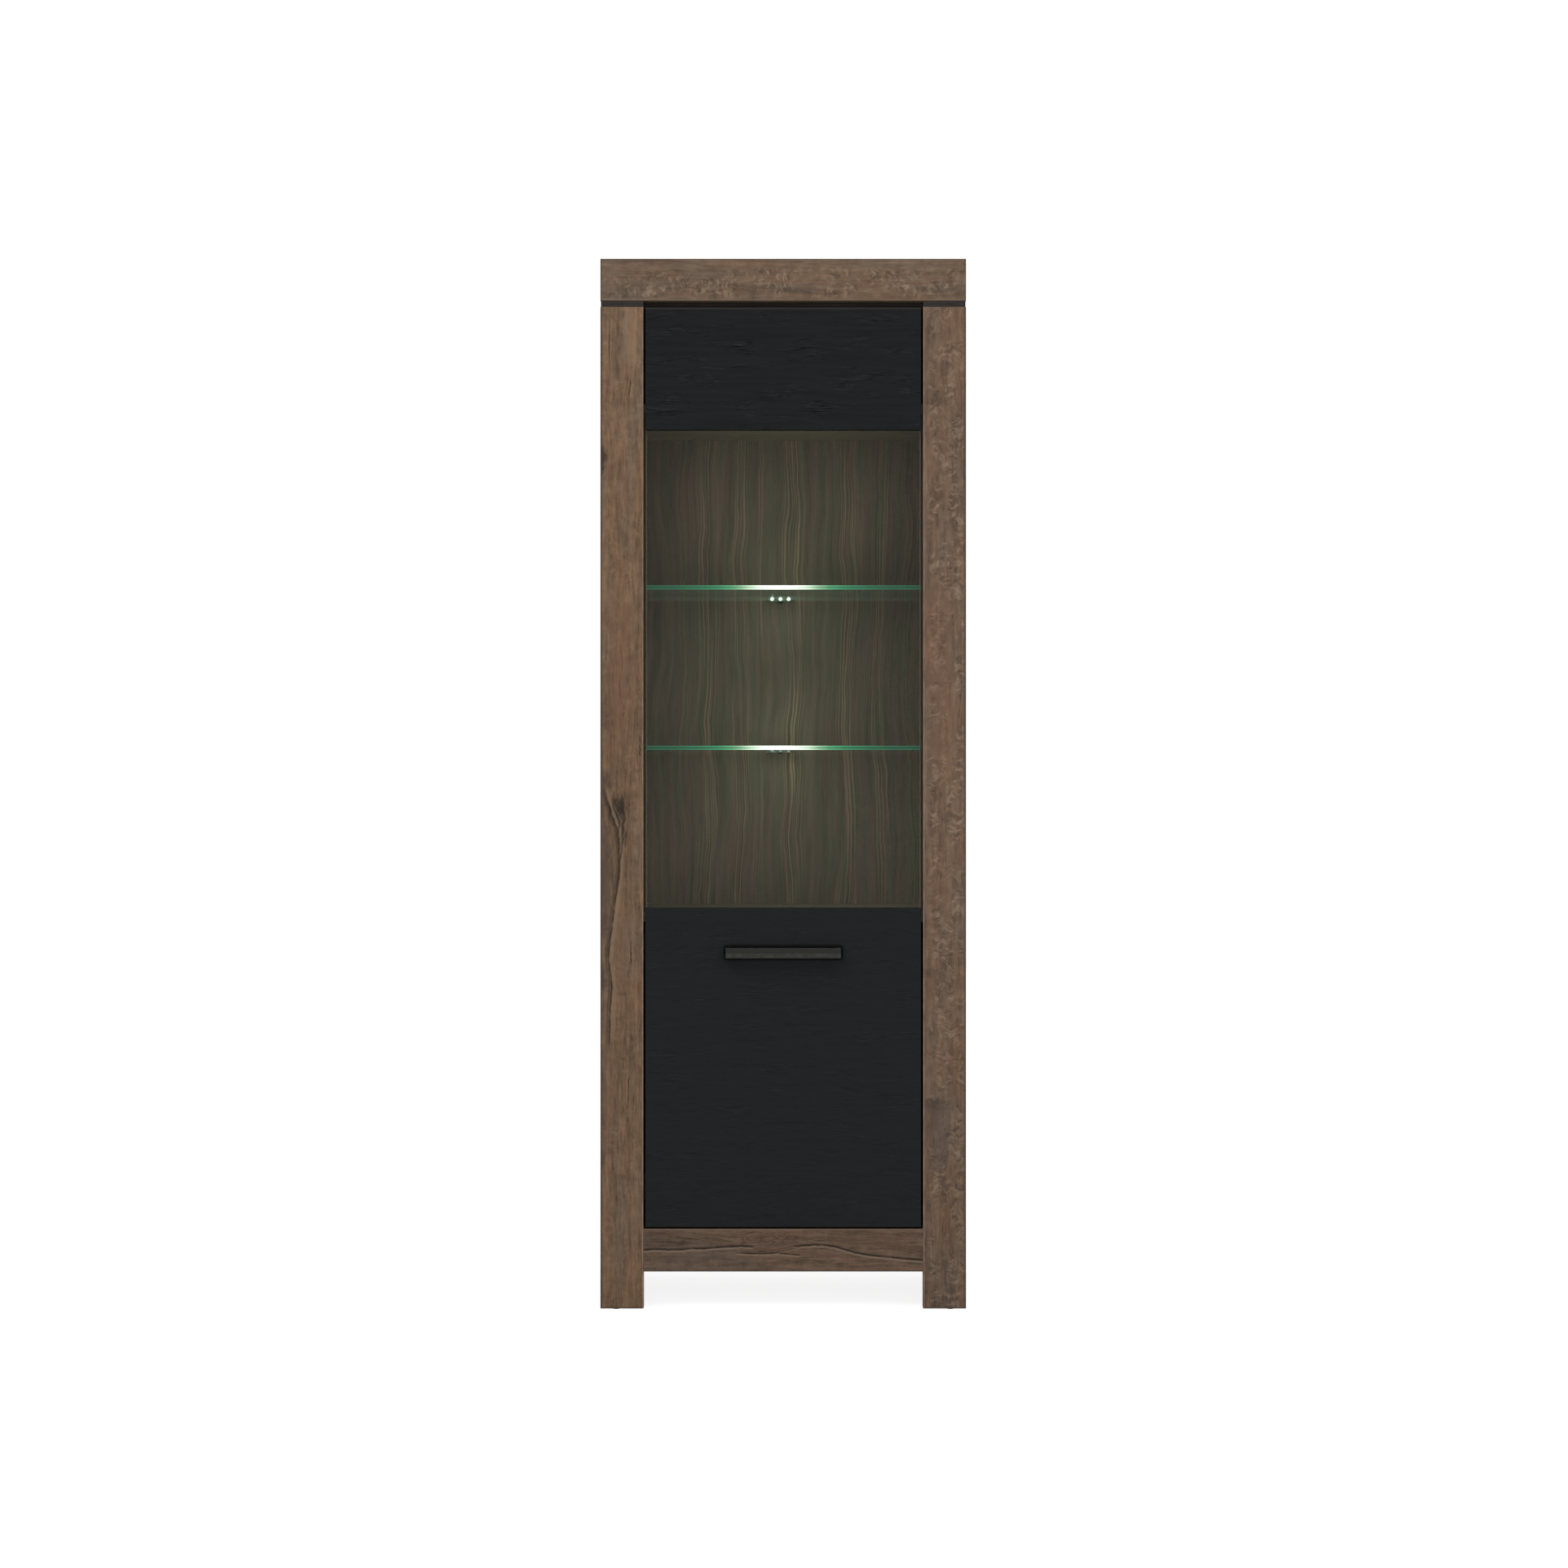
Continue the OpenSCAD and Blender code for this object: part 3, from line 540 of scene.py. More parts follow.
def oak_materials():
    """One cut of the same decor for each board, so that no two boards repeat."""
    return {
        "stile_left": oak_material(
            "oak_stile_left", left_upright, 11.0, warmth=0.5, streaks=0.62, flecks=0.3,
            zone=(45, 60), gain=(1.06, 1.01, 0.92), cracks=STILE_CRACKS,
            breaks=[(725, 60, 6, 16, 0.45)],
            stains=[(826, 10, 130, 18, 0.75, KNOT_SHADE), (952, 34, 36, 19, 0.95, KNOT),
                    (900, 42, 34, 9, 0.7, KNOT), (1000, 8, 34, 14, 0.5, SHADE),
                    (632, 5, 24, 9, 0.75, SHADE), (1624, 4, 25, 10, 0.9, KNOT),
                    (291, 3, 22, 6, 0.7, SHADE), (602, 43, 4, 15, 0.45, SHADE),
                    (252, 45, 12, 34, 0.30, SHADE), (1240, 34, 200, 26, 0.45, RED),
                    (1860, 58, 90, 20, 0.35, TAN), (700, 45, 110, 20, 0.35, PALE_PATCH)],
            edges=stile_edges, drift=(900, 1500, 0.94, 1.16),
        ),
        "stile_right": oak_material(
            "oak_stile_right", right_upright, 23.0, warmth=0.2, streaks=0.5, flecks=1.0,
            zone=(46, 44), gain=(1.06, 1.04, 1.02),
            breaks=[(1725, 40, 16, 30, 0.55), (650, -45, 14, 34, 0.40), (400, -50, 16, 36, 0.5),
                    (1190, 60, 10, 24, 0.25)],
            stains=[(1800, 42, 16, 24, 0.45, SHADE), (1180, 30, 210, 30, 0.40, RED),
                    (330, 30, 120, 34, 0.35, GREY_PATCH)],
            edges=stile_edges, drift=(60, 1300, 0.86, 1.07),
        ),
        "bottom_rail": oak_material(
            "oak_rail", rail_level, 37.0, warmth=0.2, streaks=0.75, flecks=0.25,
            zone=(30, 60), gain=(0.77, 0.77, 0.78), cracks=RAIL_CRACKS,
            figures=[(238, 62, 62, 17, 4.0, 0.55)],
            stains=[(90, 22, 90, 14, 0.3, WARM), (440, 58, 110, 16, 0.3, RED)],
            edges=rail_edges,
        ),
        "top_fascia": oak_material(
            "oak_fascia", fascia_level, 41.0, warmth=0.1, streaks=0.5, flecks=1.0,
            zone=(33, 34), gain=(1.16, 1.17, 1.14),
            breaks=[(296, -22, 12, 26, 0.6), (222, -24, 20, 30, 0.45), (40, 30, 14, 20, 0.3)],
            edges=fascia_edges,
        ),
        "side": oak_material(
            "oak_sides", side_upright, 53.0, warmth=0.7, streaks=0.55, flecks=0.3,
            gain=(1.0, 0.97, 0.93),
            breaks=[(1480, 50, -80, 60, 0.4), (905, -60, 120, 70, 0.35)],
            stains=[(1300, -60, 420, 50, 0.4, RED), (700, 90, 480, 60, 0.35, TAN),
                    (1650, 120, 300, 40, 0.3, SHADE), (350, -20, 380, 50, 0.3, SHADE)],
        ),
        "top_side": oak_material(
            "oak_top_sides", side_level, 67.0, warmth=0.3, streaks=0.6, flecks=0.5,
        ),
        "top_panel": oak_material(
            "oak_top_panel", flat_level, 71.0, warmth=0.4, streaks=0.7, flecks=0.25,
        ),
    }


# ---------------------------------------------------------------- inside and black boards

INSIDE = (0.22, 0.183, 0.142)
FIXED_SHELF = (0.25, 0.213, 0.170)
FILLER = (0.040, 0.034, 0.028)
BLACK_BOARD = (0.038, 0.032, 0.029)
BEECH = (0.46, 0.30, 0.17)
DECOR_GREEN = (0.172, 0.157, 0.116)
DECOR_BROWN = (0.214, 0.158, 0.128)
DECOR_LINE = (0.44, 0.32, 0.22)
HARDBOARD = (0.235, 0.150, 0.085)
BLACK_FOIL = (0.0135, 0.0150, 0.0160)
# Painted highlight for the upper door panel's top edge
PAINTED_TOP_HIGHLIGHT = (0.040, 0.037, 0.031)
# Painted shade round the handle on the lower door panel
PAINTED_HANDLE_SHADE = (0.002, 0.002, 0.002)


def plain_wood(name, place_of, seed, colour, contrast=0.10, roughness=0.5, gloss=0.3):
    """A calm straight grain, for the boards behind the glass."""
    s = Shader(name)
    place = place_of(s, *s.point())
    warp = s.grain(place, 200.0, 60.0, seed + 1.0, 1.0)
    bent = (place[0], s.add(place[1], s.mul(warp, 3.0)), place[2])
    streak = s.grain(bent, 150.0, 6.0, seed, 3.0)
    fine = s.grain(bent, 30.0, 1.6, seed + 4.0, 1.0)
    tone = s.total((contrast, streak), (contrast * 0.8, fine))
    rough = s.step(streak, -1.0, 1.0, roughness + 0.06, roughness - 0.04)
    s.surface(
        s.scale(colour, tone), rough, s.bump(tone, 0.0006, 0.5), Specular_IOR_Level=gloss,
    )
    return s.mat


# Groups of light lines on the back panels: middle, half width and strength
LINE_GROUPS = [
    (-206, 16, 0.35), (-158, 26, 0.8), (-88, 20, 0.8), (-44, 6, 0.6),
    (20, 22, 1.0), (132, 24, 0.8), (206, 22, 0.6), (262, 14, 0.35),
]


def back_material():
    """Wavy upright decor with groups of light lines, and raw hardboard behind."""
    s = Shader("back_decor")
    x, y, z = s.point()
    sway = s.mul(s.sub(s.noise(s.mul(z, 0.0030), s.mul(x, 0.006), 4.0, 1.0), 0.5), 60.0)
    curl = s.mul(s.sub(s.noise(s.mul(z, 0.014), s.mul(x, 0.02), 8.0, 1.0), 0.5), 9.0)
    v = s.add(x, s.add(sway, curl))
    place = (z, v, 0.0)
    lines = s.grain(place, 420.0, 3.2, 3.0, 1.0)
    streak = s.grain(place, 300.0, 13.0, 12.0, 3.0)
    fine = s.grain(place, 60.0, 2.0, 21.0, 1.0)
    there = 0.04
    for middle, reach, strength in LINE_GROUPS:
        there = s.add(there, s.mul(s.band(v, middle, reach * 0.4, reach * 1.15), strength))
    light = s.mul(s.step(lines, 0.1, 1.1), there)
    dark = s.mul(s.step(lines, -0.1, -1.2), s.add(s.mul(there, 0.7), 0.12))
    tone = s.total((0.10, streak), (0.06, fine), (-0.24, dark))
    hue = s.step(s.grain(place, 240.0, 17.0, 33.0, 2.0), -0.9, 0.9)
    decor = s.scale(s.mix(hue, DECOR_GREEN, DECOR_BROWN), tone)
    decor = s.mix(s.mul(light, 0.72), decor, DECOR_LINE)
    speck = s.grain((x, z, y), 3.0, 3.0, 2.0, 2.0)
    raw = s.scale(HARDBOARD, s.total((0.12, speck)))
    behind = s.step(y, back_front_y / MM + 1.4, back_front_y / MM + 1.6)
    s.surface(
        s.mix(behind, decor, raw), s.step(streak, -1, 1, 0.62, 0.54),
        s.bump(s.total((0.5, streak), (0.5, fine)), 0.0001, 0.5), Specular_IOR_Level=0.2,
    )
    return s.mat


def far_from(s, x, z, node):
    """How far outside a node's front outline a place is, in millimetres."""
    lo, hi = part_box(node)
    middle, half = (lo + hi) / 2 / MM, (hi - lo) / 2 / MM
    dx = s.math("MAXIMUM", s.sub(s.size(s.sub(x, middle.x)), half.x), 0.0)
    dz = s.math("MAXIMUM", s.sub(s.size(s.sub(z, middle.z)), half.z), 0.0)
    return s.math("SQRT", s.add(s.mul(dx, dx), s.mul(dz, dz)))


def black_wood(name, seed, emboss, gain=(1, 1, 1), highlight_top=None, painted_shade_round=None):
    """Black foil embossed with shallow strokes along its grain.

    The last two arguments are the height of an upper edge that gets a painted highlight line,
    and the node on the front face round which a rougher border of painted shade lies.
    """
    s = Shader(name)
    place = level(s, *s.point())
    u, v, w = place
    warp = s.grain(place, 90.0, 30.0, seed, 1.0)
    bent = (u, s.add(v, s.mul(warp, 2.0)), w)
    stroke = s.grain(bent, 26.0, 1.5, seed + 2.0, 2.0)
    broad = s.grain(bent, 180.0, 9.0, seed + 3.0, 2.0)
    cluster = s.step(s.grain(place, 90.0, 28.0, seed + 4.0, 2.0), -0.3, 1.3)
    cut = s.mul(s.step(stroke, -0.35, -1.15), cluster)
    rib = s.mul(s.step(stroke, 0.5, 1.3), cluster)
    tone = s.total(
        (0.06 * emboss, broad), (0.05, stroke), (-0.5 * emboss, cut), (0.7 * emboss, rib),
    )
    relief = s.total((0.3, stroke), (-1.5 * emboss, cut), (0.5 * emboss, rib))
    colour = s.tint(s.scale(BLACK_FOIL, tone), gain)
    # A painted highlight line along the upper edge, the light its eased edge would catch
    if highlight_top:
        highlight_mask = s.band(v, highlight_top / MM - 1.6, 0.7, 2.2)
        colour = s.mix(s.mul(highlight_mask, 0.8), colour, PAINTED_TOP_HIGHLIGHT)
    rough = s.step(stroke, -1.0, 1.0, 0.56, 0.46)
    # A border of painted shade round the handle, the shadow it would throw; it is also made
    # rougher
    if painted_shade_round:
        painted_shade = s.step(far_from(s, u, v, painted_shade_round), 1.5, 8.0, 1.0, 0.0)
        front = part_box("door_panel_lower")[0].y / MM
        painted_shade = s.mul(painted_shade, s.step(w, front + 2.0, front + 4.0, 1.0, 0.0))
        colour = s.mix(s.mul(painted_shade, 0.9), colour, PAINTED_HANDLE_SHADE)
        rough = s.add(rough, s.mul(painted_shade, 0.4))
    s.surface(colour, rough, s.bump(relief, 0.00010, 0.7), Specular_IOR_Level=0.13)
    return s.mat


# ---------------------------------------------------------------- glass, metal, plastic

GLASS_IOR = 1.5
LAMP_GLOW = 6.0


def glass(name, tint, veil, gloss, dust_and_painted_light):
    """Clear glass that tints what is behind it, with a sheen that grows at a slant.

    veil is the sheen's least share, gloss its index of refraction and the last argument its
    colour: a haze, which on the shelf faces and the pane's side strips is also painted light.
    """
    s = Shader(name)
    x, y, z = s.point()
    film = s.noise(s.mul(x, 0.008), s.mul(y, 0.008), s.mul(z, 0.006), 2.0)
    sheen = s.surface(dust_and_painted_light, s.step(film, 0.35, 0.75, 0.01, 0.05), IOR=gloss)
    clear = s.node("BsdfTransparent")
    clear.inputs[0].default_value = (*tint, 1)
    slant = s.node("Fresnel")
    slant.inputs[0].default_value = GLASS_IOR
    both = s.node("MixShader")
    front = s.sub(1.0, s.node("NewGeometry").outputs["Backfacing"])
    s.put(both.inputs[0], s.add(s.mul(slant.outputs[0], front), veil))
    s.put(both.inputs[1], clear.outputs[0])
    s.put(both.inputs[2], sheen.outputs[0])
    s.put(s.out.inputs[0], both.outputs[0])
    return s.mat


def glass_edge(name, colour):
    """The ground edge of a pane, green from the depth of glass behind it."""
    s = Shader(name)
    x, y, z = s.point()
    ground = s.noise(s.mul(x, 0.9), s.mul(y, 0.9), s.mul(z, 0.9), 3.0)
    tone = s.step(ground, 0.3, 0.7, 0.85, 1.15)
    s.surface(s.scale(colour, tone), 0.28, s.bump(ground, 0.00003), IOR=GLASS_IOR)
    return s.mat


# Light along a shelf's front edge: distance from the lamps in shares of the reach, colour
GLOW = [
    (0.00, (1.50, 1.60, 1.45)),
    (0.11, (1.05, 1.22, 1.00)),
    (0.17, (0.66, 0.86, 0.64)),
    (0.23, (0.34, 0.60, 0.37)),
    (0.29, (0.12, 0.42, 0.21)),
    (0.37, (0.055, 0.27, 0.135)),
    (0.48, (0.042, 0.18, 0.095)),
    (0.62, (0.034, 0.115, 0.064)),
    (1.00, (0.027, 0.068, 0.042)),
]


def lit_edge(name, node):
    """The front edge of a lit glass shelf, brightest in front of its lamps."""
    s = Shader(name)
    lo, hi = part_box(node)
    x, _, z = s.point()
    reach = (hi.x - lo.x) / 2 / MM
    off = s.mul(s.size(s.sub(x, light_x / MM)), 1 / reach)
    ripple = s.sub(s.noise(s.mul(x, 0.05), 3.0, 0.0, 2.0), 0.5)
    off = s.add(off, s.mul(ripple, 0.05))
    ramp = s.node("ValToRGB")
    while len(ramp.color_ramp.elements) < len(GLOW):
        ramp.color_ramp.elements.new(0.5)
    for element, (place, colour) in zip(ramp.color_ramp.elements, GLOW):
        element.position = place
        element.color = (*colour, 1)
    s.put(ramp.inputs[0], off)
    middle = (lo.z + hi.z) / 2 / MM
    rim = s.step(s.size(s.sub(z, middle)), 1.4, 3.2, 0.62, 1.5)
    rim = s.add(rim, s.mul(s.step(off, 0.12, 0.28, 1.0, 0.0), 0.35))
    made = s.surface((0.02, 0.06, 0.04), 0.12, IOR=GLASS_IOR)
    s.put(made.inputs["Emission Color"], s.scale(ramp.outputs[0], rim))
    made.inputs["Emission Strength"].default_value = 1.0
    return s.mat


def metal(name, colour, roughness, specks=0.2):
    """Brushed level, with a slight cloudiness."""
    s = Shader(name)
    place = level(s, *s.point())
    brush = s.grain(place, 26.0, 0.35, 3.0, 2.0)
    cloud = s.grain(place, 9.0, 9.0, 5.0, 2.0)
    tone = s.total((specks, cloud), (specks * 0.4, brush))
    rough = s.step(s.add(brush, cloud), -1.5, 1.5, roughness - 0.05, roughness + 0.08)
    s.surface(s.scale(colour, tone), rough, s.bump(brush, 0.00001, 0.5), Metallic=1.0)
    return s.mat


def plastic(name, colour, roughness=0.5, emission=None):
    """Moulded plastic with a fine grain and slight wear."""
    s = Shader(name)
    x, y, z = s.point()
    fine = s.noise(s.mul(x, 1.5), s.mul(y, 1.5), s.mul(z, 1.5), 2.0)
    wear = s.noise(s.mul(x, 0.06), s.mul(y, 0.06), s.mul(z, 0.06), 3.0)
    made = s.surface(
        s.scale(colour, s.step(wear, 0.3, 0.7, 0.92, 1.12)),
        s.step(wear, 0.3, 0.7, roughness, roughness + 0.08), s.bump(fine, 0.00003, 0.5),
    )
    if emission:
        made.inputs["Emission Color"].default_value = (*emission, 1)
        made.inputs["Emission Strength"].default_value = LAMP_GLOW
    return s.mat


# ---------------------------------------------------------------- mesh helpers

# Edges sharper than this stay sharp in the shading of a piece
SHARP = math.radians(35)
# How deep the saw marks are cut into the oak
SAW_DEPTH = 0.00022
# A face whose normal is this close to an axis is flat on it
FLAT = 0.99


def make_piece(name, bm, mats, body, node):
    """Turns a bmesh into a piece that rides on its body and stands for its CAD node."""
    bmesh.ops.recalc_face_normals(bm, faces=bm.faces[:])
    mesh = bpy.data.meshes.new(name)
    bm.to_mesh(mesh)
    bm.free()
    for mat in mats:
        mesh.materials.append(mat)
    for face in mesh.polygons:
        face.use_smooth = True
    mesh.set_sharp_from_angle(angle=SHARP)
    obj = bpy.data.objects.new(name, mesh)
    scene.collection.objects.link(obj)
    normals = obj.modifiers.new("normals", "WEIGHTED_NORMAL")
    normals.keep_sharp = True
    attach(obj, body)
    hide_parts(node)
    return obj


def eased_box(lo, hi, radius, segments=3):
    """A box with rounded edges."""
    bm = bmesh.new()
    bmesh.ops.create_cube(bm, size=1.0)
    bmesh.ops.scale(bm, vec=Vector(hi) - Vector(lo), verts=bm.verts[:])
    bmesh.ops.translate(bm, vec=(Vector(hi) + Vector(lo)) / 2, verts=bm.verts[:])
    bmesh.ops.bevel(
        bm, geom=bm.edges[:], offset=radius, segments=segments, profile=0.5, affect="EDGES",
        clamp_overlap=True,
    )
    return bm


def eased_steps(low, high, radius, cell):
    """Places from low to high: close together over both rounded edges, then even."""
    rounding = [radius * (1 - math.cos(math.radians(a))) for a in (0, 30, 60, 90)]
    inner = high - low - 2 * radius
    count = max(2, round(inner / cell))
    middle = [low + radius + inner * k / count for k in range(1, count)]
    return [low + r for r in rounding] + middle + [high - r for r in reversed(rounding)]


def face_relief(lo, hi, radius, along, cracks, x, z):
    """How far a board's front face stands in at x, z: eased edges, saw marks, cracks."""
    edge = min(x - lo.x, hi.x - x, z - lo.z, hi.z - z)
    depth = 0.0
    if edge < radius:
        depth = radius - math.sqrt(max(0.0, radius ** 2 - (radius - edge) ** 2))
    u, v = (z, x - lo.x) if along == "z" else (x - lo.x, z - lo.z)
    if along == "z" and lo.x > 0:
        v = hi.x - x
    saw = noise.noise(Vector((u * 30.0, v * 160.0, 3.0)))
    depth += SAW_DEPTH * max(0.0, 0.5 + saw) * min(1.0, edge / (2 * radius))
    for crack in cracks:
        depth += crack.groove(u / MM, v / MM) * MM
    return depth


def relief_board(node, mat, along, cracks, radius, cell):
    """A board whose front face is a fine grid pressed in by its cracks and saw marks.

    cell is the grid's spacing across the board and along it.
    """
    lo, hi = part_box(node)
    fine, coarse = cell
    xs = eased_steps(lo.x, hi.x, radius, fine if along == "z" else coarse)
    zs = eased_steps(lo.z, hi.z, radius, coarse if along == "z" else fine)
    bm = bmesh.new()
    grid = [
        [bm.verts.new((x, lo.y + face_relief(lo, hi, radius, along, cracks, x, z), z))
         for x in xs] for z in zs
    ]
    for low_row, high_row in zip(grid, grid[1:]):
        for a, b, c, d in zip(low_row, low_row[1:], high_row[1:], high_row):
            bm.faces.new((a, b, c, d))
    rear = [bm.verts.new((x, hi.y, z)) for x, z in
            ((lo.x, lo.z), (hi.x, lo.z), (hi.x, hi.z), (lo.x, hi.z))]
    bm.faces.new(rear)
    bm.faces.new([*grid[0], rear[1], rear[0]])
    bm.faces.new([*grid[-1], rear[2], rear[3]])
    bm.faces.new([*(row[0] for row in grid), rear[3], rear[0]])
    bm.faces.new([*(row[-1] for row in grid), rear[2], rear[1]])
    return make_piece(f"{node}_board", bm, [mat], "carcass", node)


def eased_board(node, mat, radius):
    """A plain oak board with rounded edges."""
    bm = eased_box(*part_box(node), radius)
    return make_piece(f"{node}_board", bm, [mat], "carcass", node)


def extrude_profile(outline, x0, x1, easing):
    """A prism of a y, z outline from x0 to x1, with eased edges."""
    bm = bmesh.new()
    rows = [[bm.verts.new((x, y, z)) for y, z in outline] for x in (x0, x1)]
    bm.faces.new(rows[0])
    bm.faces.new(list(reversed(rows[1])))
    count = len(outline)
    for k in range(count):
        n = (k + 1) % count
        bm.faces.new((rows[0][k], rows[1][k], rows[1][n], rows[0][n]))
    bmesh.ops.recalc_face_normals(bm, faces=bm.faces[:])
    edges = [e for e in bm.edges if e.calc_face_angle(0.0) > math.radians(25)]
    bmesh.ops.bevel(
        bm, geom=edges, offset=easing, segments=2, profile=0.5, affect="EDGES",
        clamp_overlap=True,
    )
    return bm


def join_bmesh(target, other):
    """Adds the faces of other to target, and frees other."""
    copies = {v: target.verts.new(v.co) for v in other.verts}
    for face in other.faces:
        made = target.faces.new([copies[v] for v in face.verts])
        made.material_index = face.material_index
    other.free()


# ---------------------------------------------------------------- pieces

PANE_STRIP = 0.0026
HANDLE_BAR_DEPTH = 0.010
HANDLE_LEG = 0.010


def make_front_boards(oaks):
    for node, along, cracks, radius, cell in (
        ("stile_left", "z", STILE_CRACKS, 0.0015, (0.0020, 0.0035)),
        ("stile_right", "z", (), 0.0015, (0.003, 0.005)),
        ("bottom_rail", "x", RAIL_CRACKS, 0.0012, (0.0018, 0.0035)),
        ("top_fascia", "x", (), 0.0015, (0.003, 0.005)),
    ):
        relief_board(node, oaks[node], along, cracks, radius, cell)


def make_top_boards(oaks):
    for side in ("left", "right"):
        eased_board(f"top_side_{side}", oaks["top_side"], 0.0012)
    eased_board("top_panel", oaks["top_panel"], 0.0006)


def make_pane(face, strip, edge):
    """The door glass: clear faces, ground edges and beside them a narrow strip, hazy with painted
    light.
    """
    lo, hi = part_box("door_glass")
    bm = eased_box(lo, hi, 0.0008, 2)
    for side, x in ((-1, lo.x + PANE_STRIP), (1, hi.x - PANE_STRIP)):
        parts = bm.verts[:] + bm.edges[:] + bm.faces[:]
        bmesh.ops.bisect_plane(bm, geom=parts, plane_co=(x, 0, 0), plane_no=(side, 0, 0))
    bm.normal_update()
    for f in bm.faces:
        inside = lo.x + PANE_STRIP < f.calc_center_median().x < hi.x - PANE_STRIP
        flat = abs(f.normal.y) > FLAT
        f.material_index = (0 if inside else 1) if flat else 2
    return make_piece("door_pane", bm, [face, strip, edge], "door", "door_glass")


def make_glass_shelf(which, face, edge, rear):
    """A glass shelf: its front edge carries the light, its rear one is hazy."""
    node = f"glass_shelf_{which}"
    lo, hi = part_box(node)
    bm = eased_box(lo, hi, 0.0006, 2)
    bm.normal_update()
    for f in bm.faces:
        f.material_index = 0 if abs(f.normal.z) > FLAT else 1
        if f.normal.y < -0.5:
            f.material_index = 2
        if f.normal.y > 0.5:
            f.material_index = 3
    mats = [face, edge, lit_edge(f"lit_edge_{which}", node), rear]
    return make_piece(f"{node}_pane", bm, mats, "carcass", node)


def make_handle(mat):
    """A bar with a shallow groove along its face, on a leg at each end."""
    lo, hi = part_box("handle_bar")
    top, foot = hi.z, lo.z
    face = lo.y
    bar_back = face + HANDLE_BAR_DEPTH
    outline = [
        (face, top - 0.0004), (face, top - 0.0022), (face + 0.0030, top - 0.0098),
        (face + 0.0006, foot + 0.0012), (face + 0.0010, foot), (bar_back, foot),
        (bar_back, top), (face + 0.0004, top),
    ]
    bm = extrude_profile(outline, lo.x, hi.x, 0.0004)
    for x0, x1 in ((lo.x, lo.x + HANDLE_LEG), (hi.x - HANDLE_LEG, hi.x)):
        join_bmesh(bm, eased_box((x0, bar_back - 0.0005, foot), (x1, hi.y, top), 0.0005, 2))
    return make_piece("handle", bm, [mat], "door", "handle_bar")


def assign(material, *names):
    """Gives CAD nodes a finish, each name a node or the start of several."""
    for node, obj in nodes.items():
        if any(node == name or (name.endswith("_") and node.startswith(name)) for name in names):
            obj.data.materials.clear()
            obj.data.materials.append(material)


def ease_node(node, width):
    """Rounds the sharp edges of a CAD node with a modifier."""
    bevel = nodes[node].modifiers.new("eased", "BEVEL")
    bevel.width = width
    bevel.segments = 2
    bevel.limit_method = "ANGLE"
    bevel.angle_limit = math.radians(50)


def dress_cad_nodes(oaks):
    """Finishes for the CAD nodes whose shape stays."""
    assign(oaks["side"], "side_left", "side_right")
    assign(oaks["top_panel"], "top_batten")
    assign(plain_wood("inside_fillers", upright, 9.0, FILLER), "hinge_filler_")
    assign(plain_wood("inside_boards", level, 5.0, INSIDE), "bottom_panel", "wood_shelf")
    assign(plain_wood("inside_fixed_shelves", level, 6.0, FIXED_SHELF), "lower_fixed_shelf",
           "upper_fixed_shelf")
    assign(back_material(), "back_panel_")
    assign(plain_wood("black_board", level, 13.0, BLACK_BOARD, contrast=0.12, gloss=0.15),
           "black_top_board")
    upper_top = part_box("door_panel_upper")[1].z
    upper_black = (0.95, 0.93, 0.95)
    assign(black_wood("black_upper", 3.0, emboss=1.6, gain=upper_black, highlight_top=upper_top),
           "door_panel_upper")
    # The lower panel gets a painted shade round its handle
    assign(black_wood("black_lower", 17.0, emboss=0.5, painted_shade_round="handle_bar"),
           "door_panel_lower")
    assign(plastic("seal_rubber", (0.012, 0.012, 0.012), 0.65), "glass_seals")
    assign(plain_wood("beech", level, 2.0, BEECH, roughness=0.7), "dowels")
    assign(plastic("white_plastic", (0.55, 0.54, 0.50), 0.4), "magnet_catch", "door_bumpers")
    assign(plastic("black_plastic", (0.018, 0.018, 0.018)), "cable_grommets", "light_driver",
           "glides")
    assign(metal("clip_chrome", (0.55, 0.60, 0.57), 0.22), "light_clip_")
    assign(metal("hinge_steel", (0.085, 0.083, 0.080), 0.38), "hinge_plate_", "hinge_arm_",
           "hinge_cup_", "hinge_pins")
    assign(metal("nickel", (0.50, 0.49, 0.46), 0.28), "shelf_pins_", "wall_brackets",
           "catch_plate")
    assign(metal("zinc", (0.52, 0.52, 0.51), 0.35), "carcass_screws", "door_screws",
           "cam_locks", "cam_bolts", "back_nails")
    assign(plastic("led_lens", (0.8, 0.9, 0.85), roughness=0.2, emission=(0.72, 1.0, 0.86)),
           "light_leds_")
    for node in ("door_panel_upper", "door_panel_lower", "black_top_board"):
        ease_node(node, 0.0008)
    for node in ("lower_fixed_shelf", "upper_fixed_shelf", "wood_shelf", "bottom_panel"):
        ease_node(node, 0.0006)


# ---------------------------------------------------------------- stage, lights, camera

CAMERA_LENS = 57.76
SENSOR_WIDTH = 36.0
CAMERA_SIDE = 0.0015
CAMERA_AWAY = 4.80
CAMERA_HEIGHT = 1.0025
FLOOR_RADIUS = 8.5
FLOOR_GLOW = 0.86
BACKDROP = 1.12
# The room's light: straight ahead of the cabinet, and everywhere else
ROOM_AHEAD, ROOM = 0.03, 0.45
# Each sun: azimuth, elevation, strength and spread in degrees
SUNS = {"key": (-42, 48, 0.95, 40), "fill": (48, 36, 0.75, 50), "top": (165, 62, 1.0, 60)}


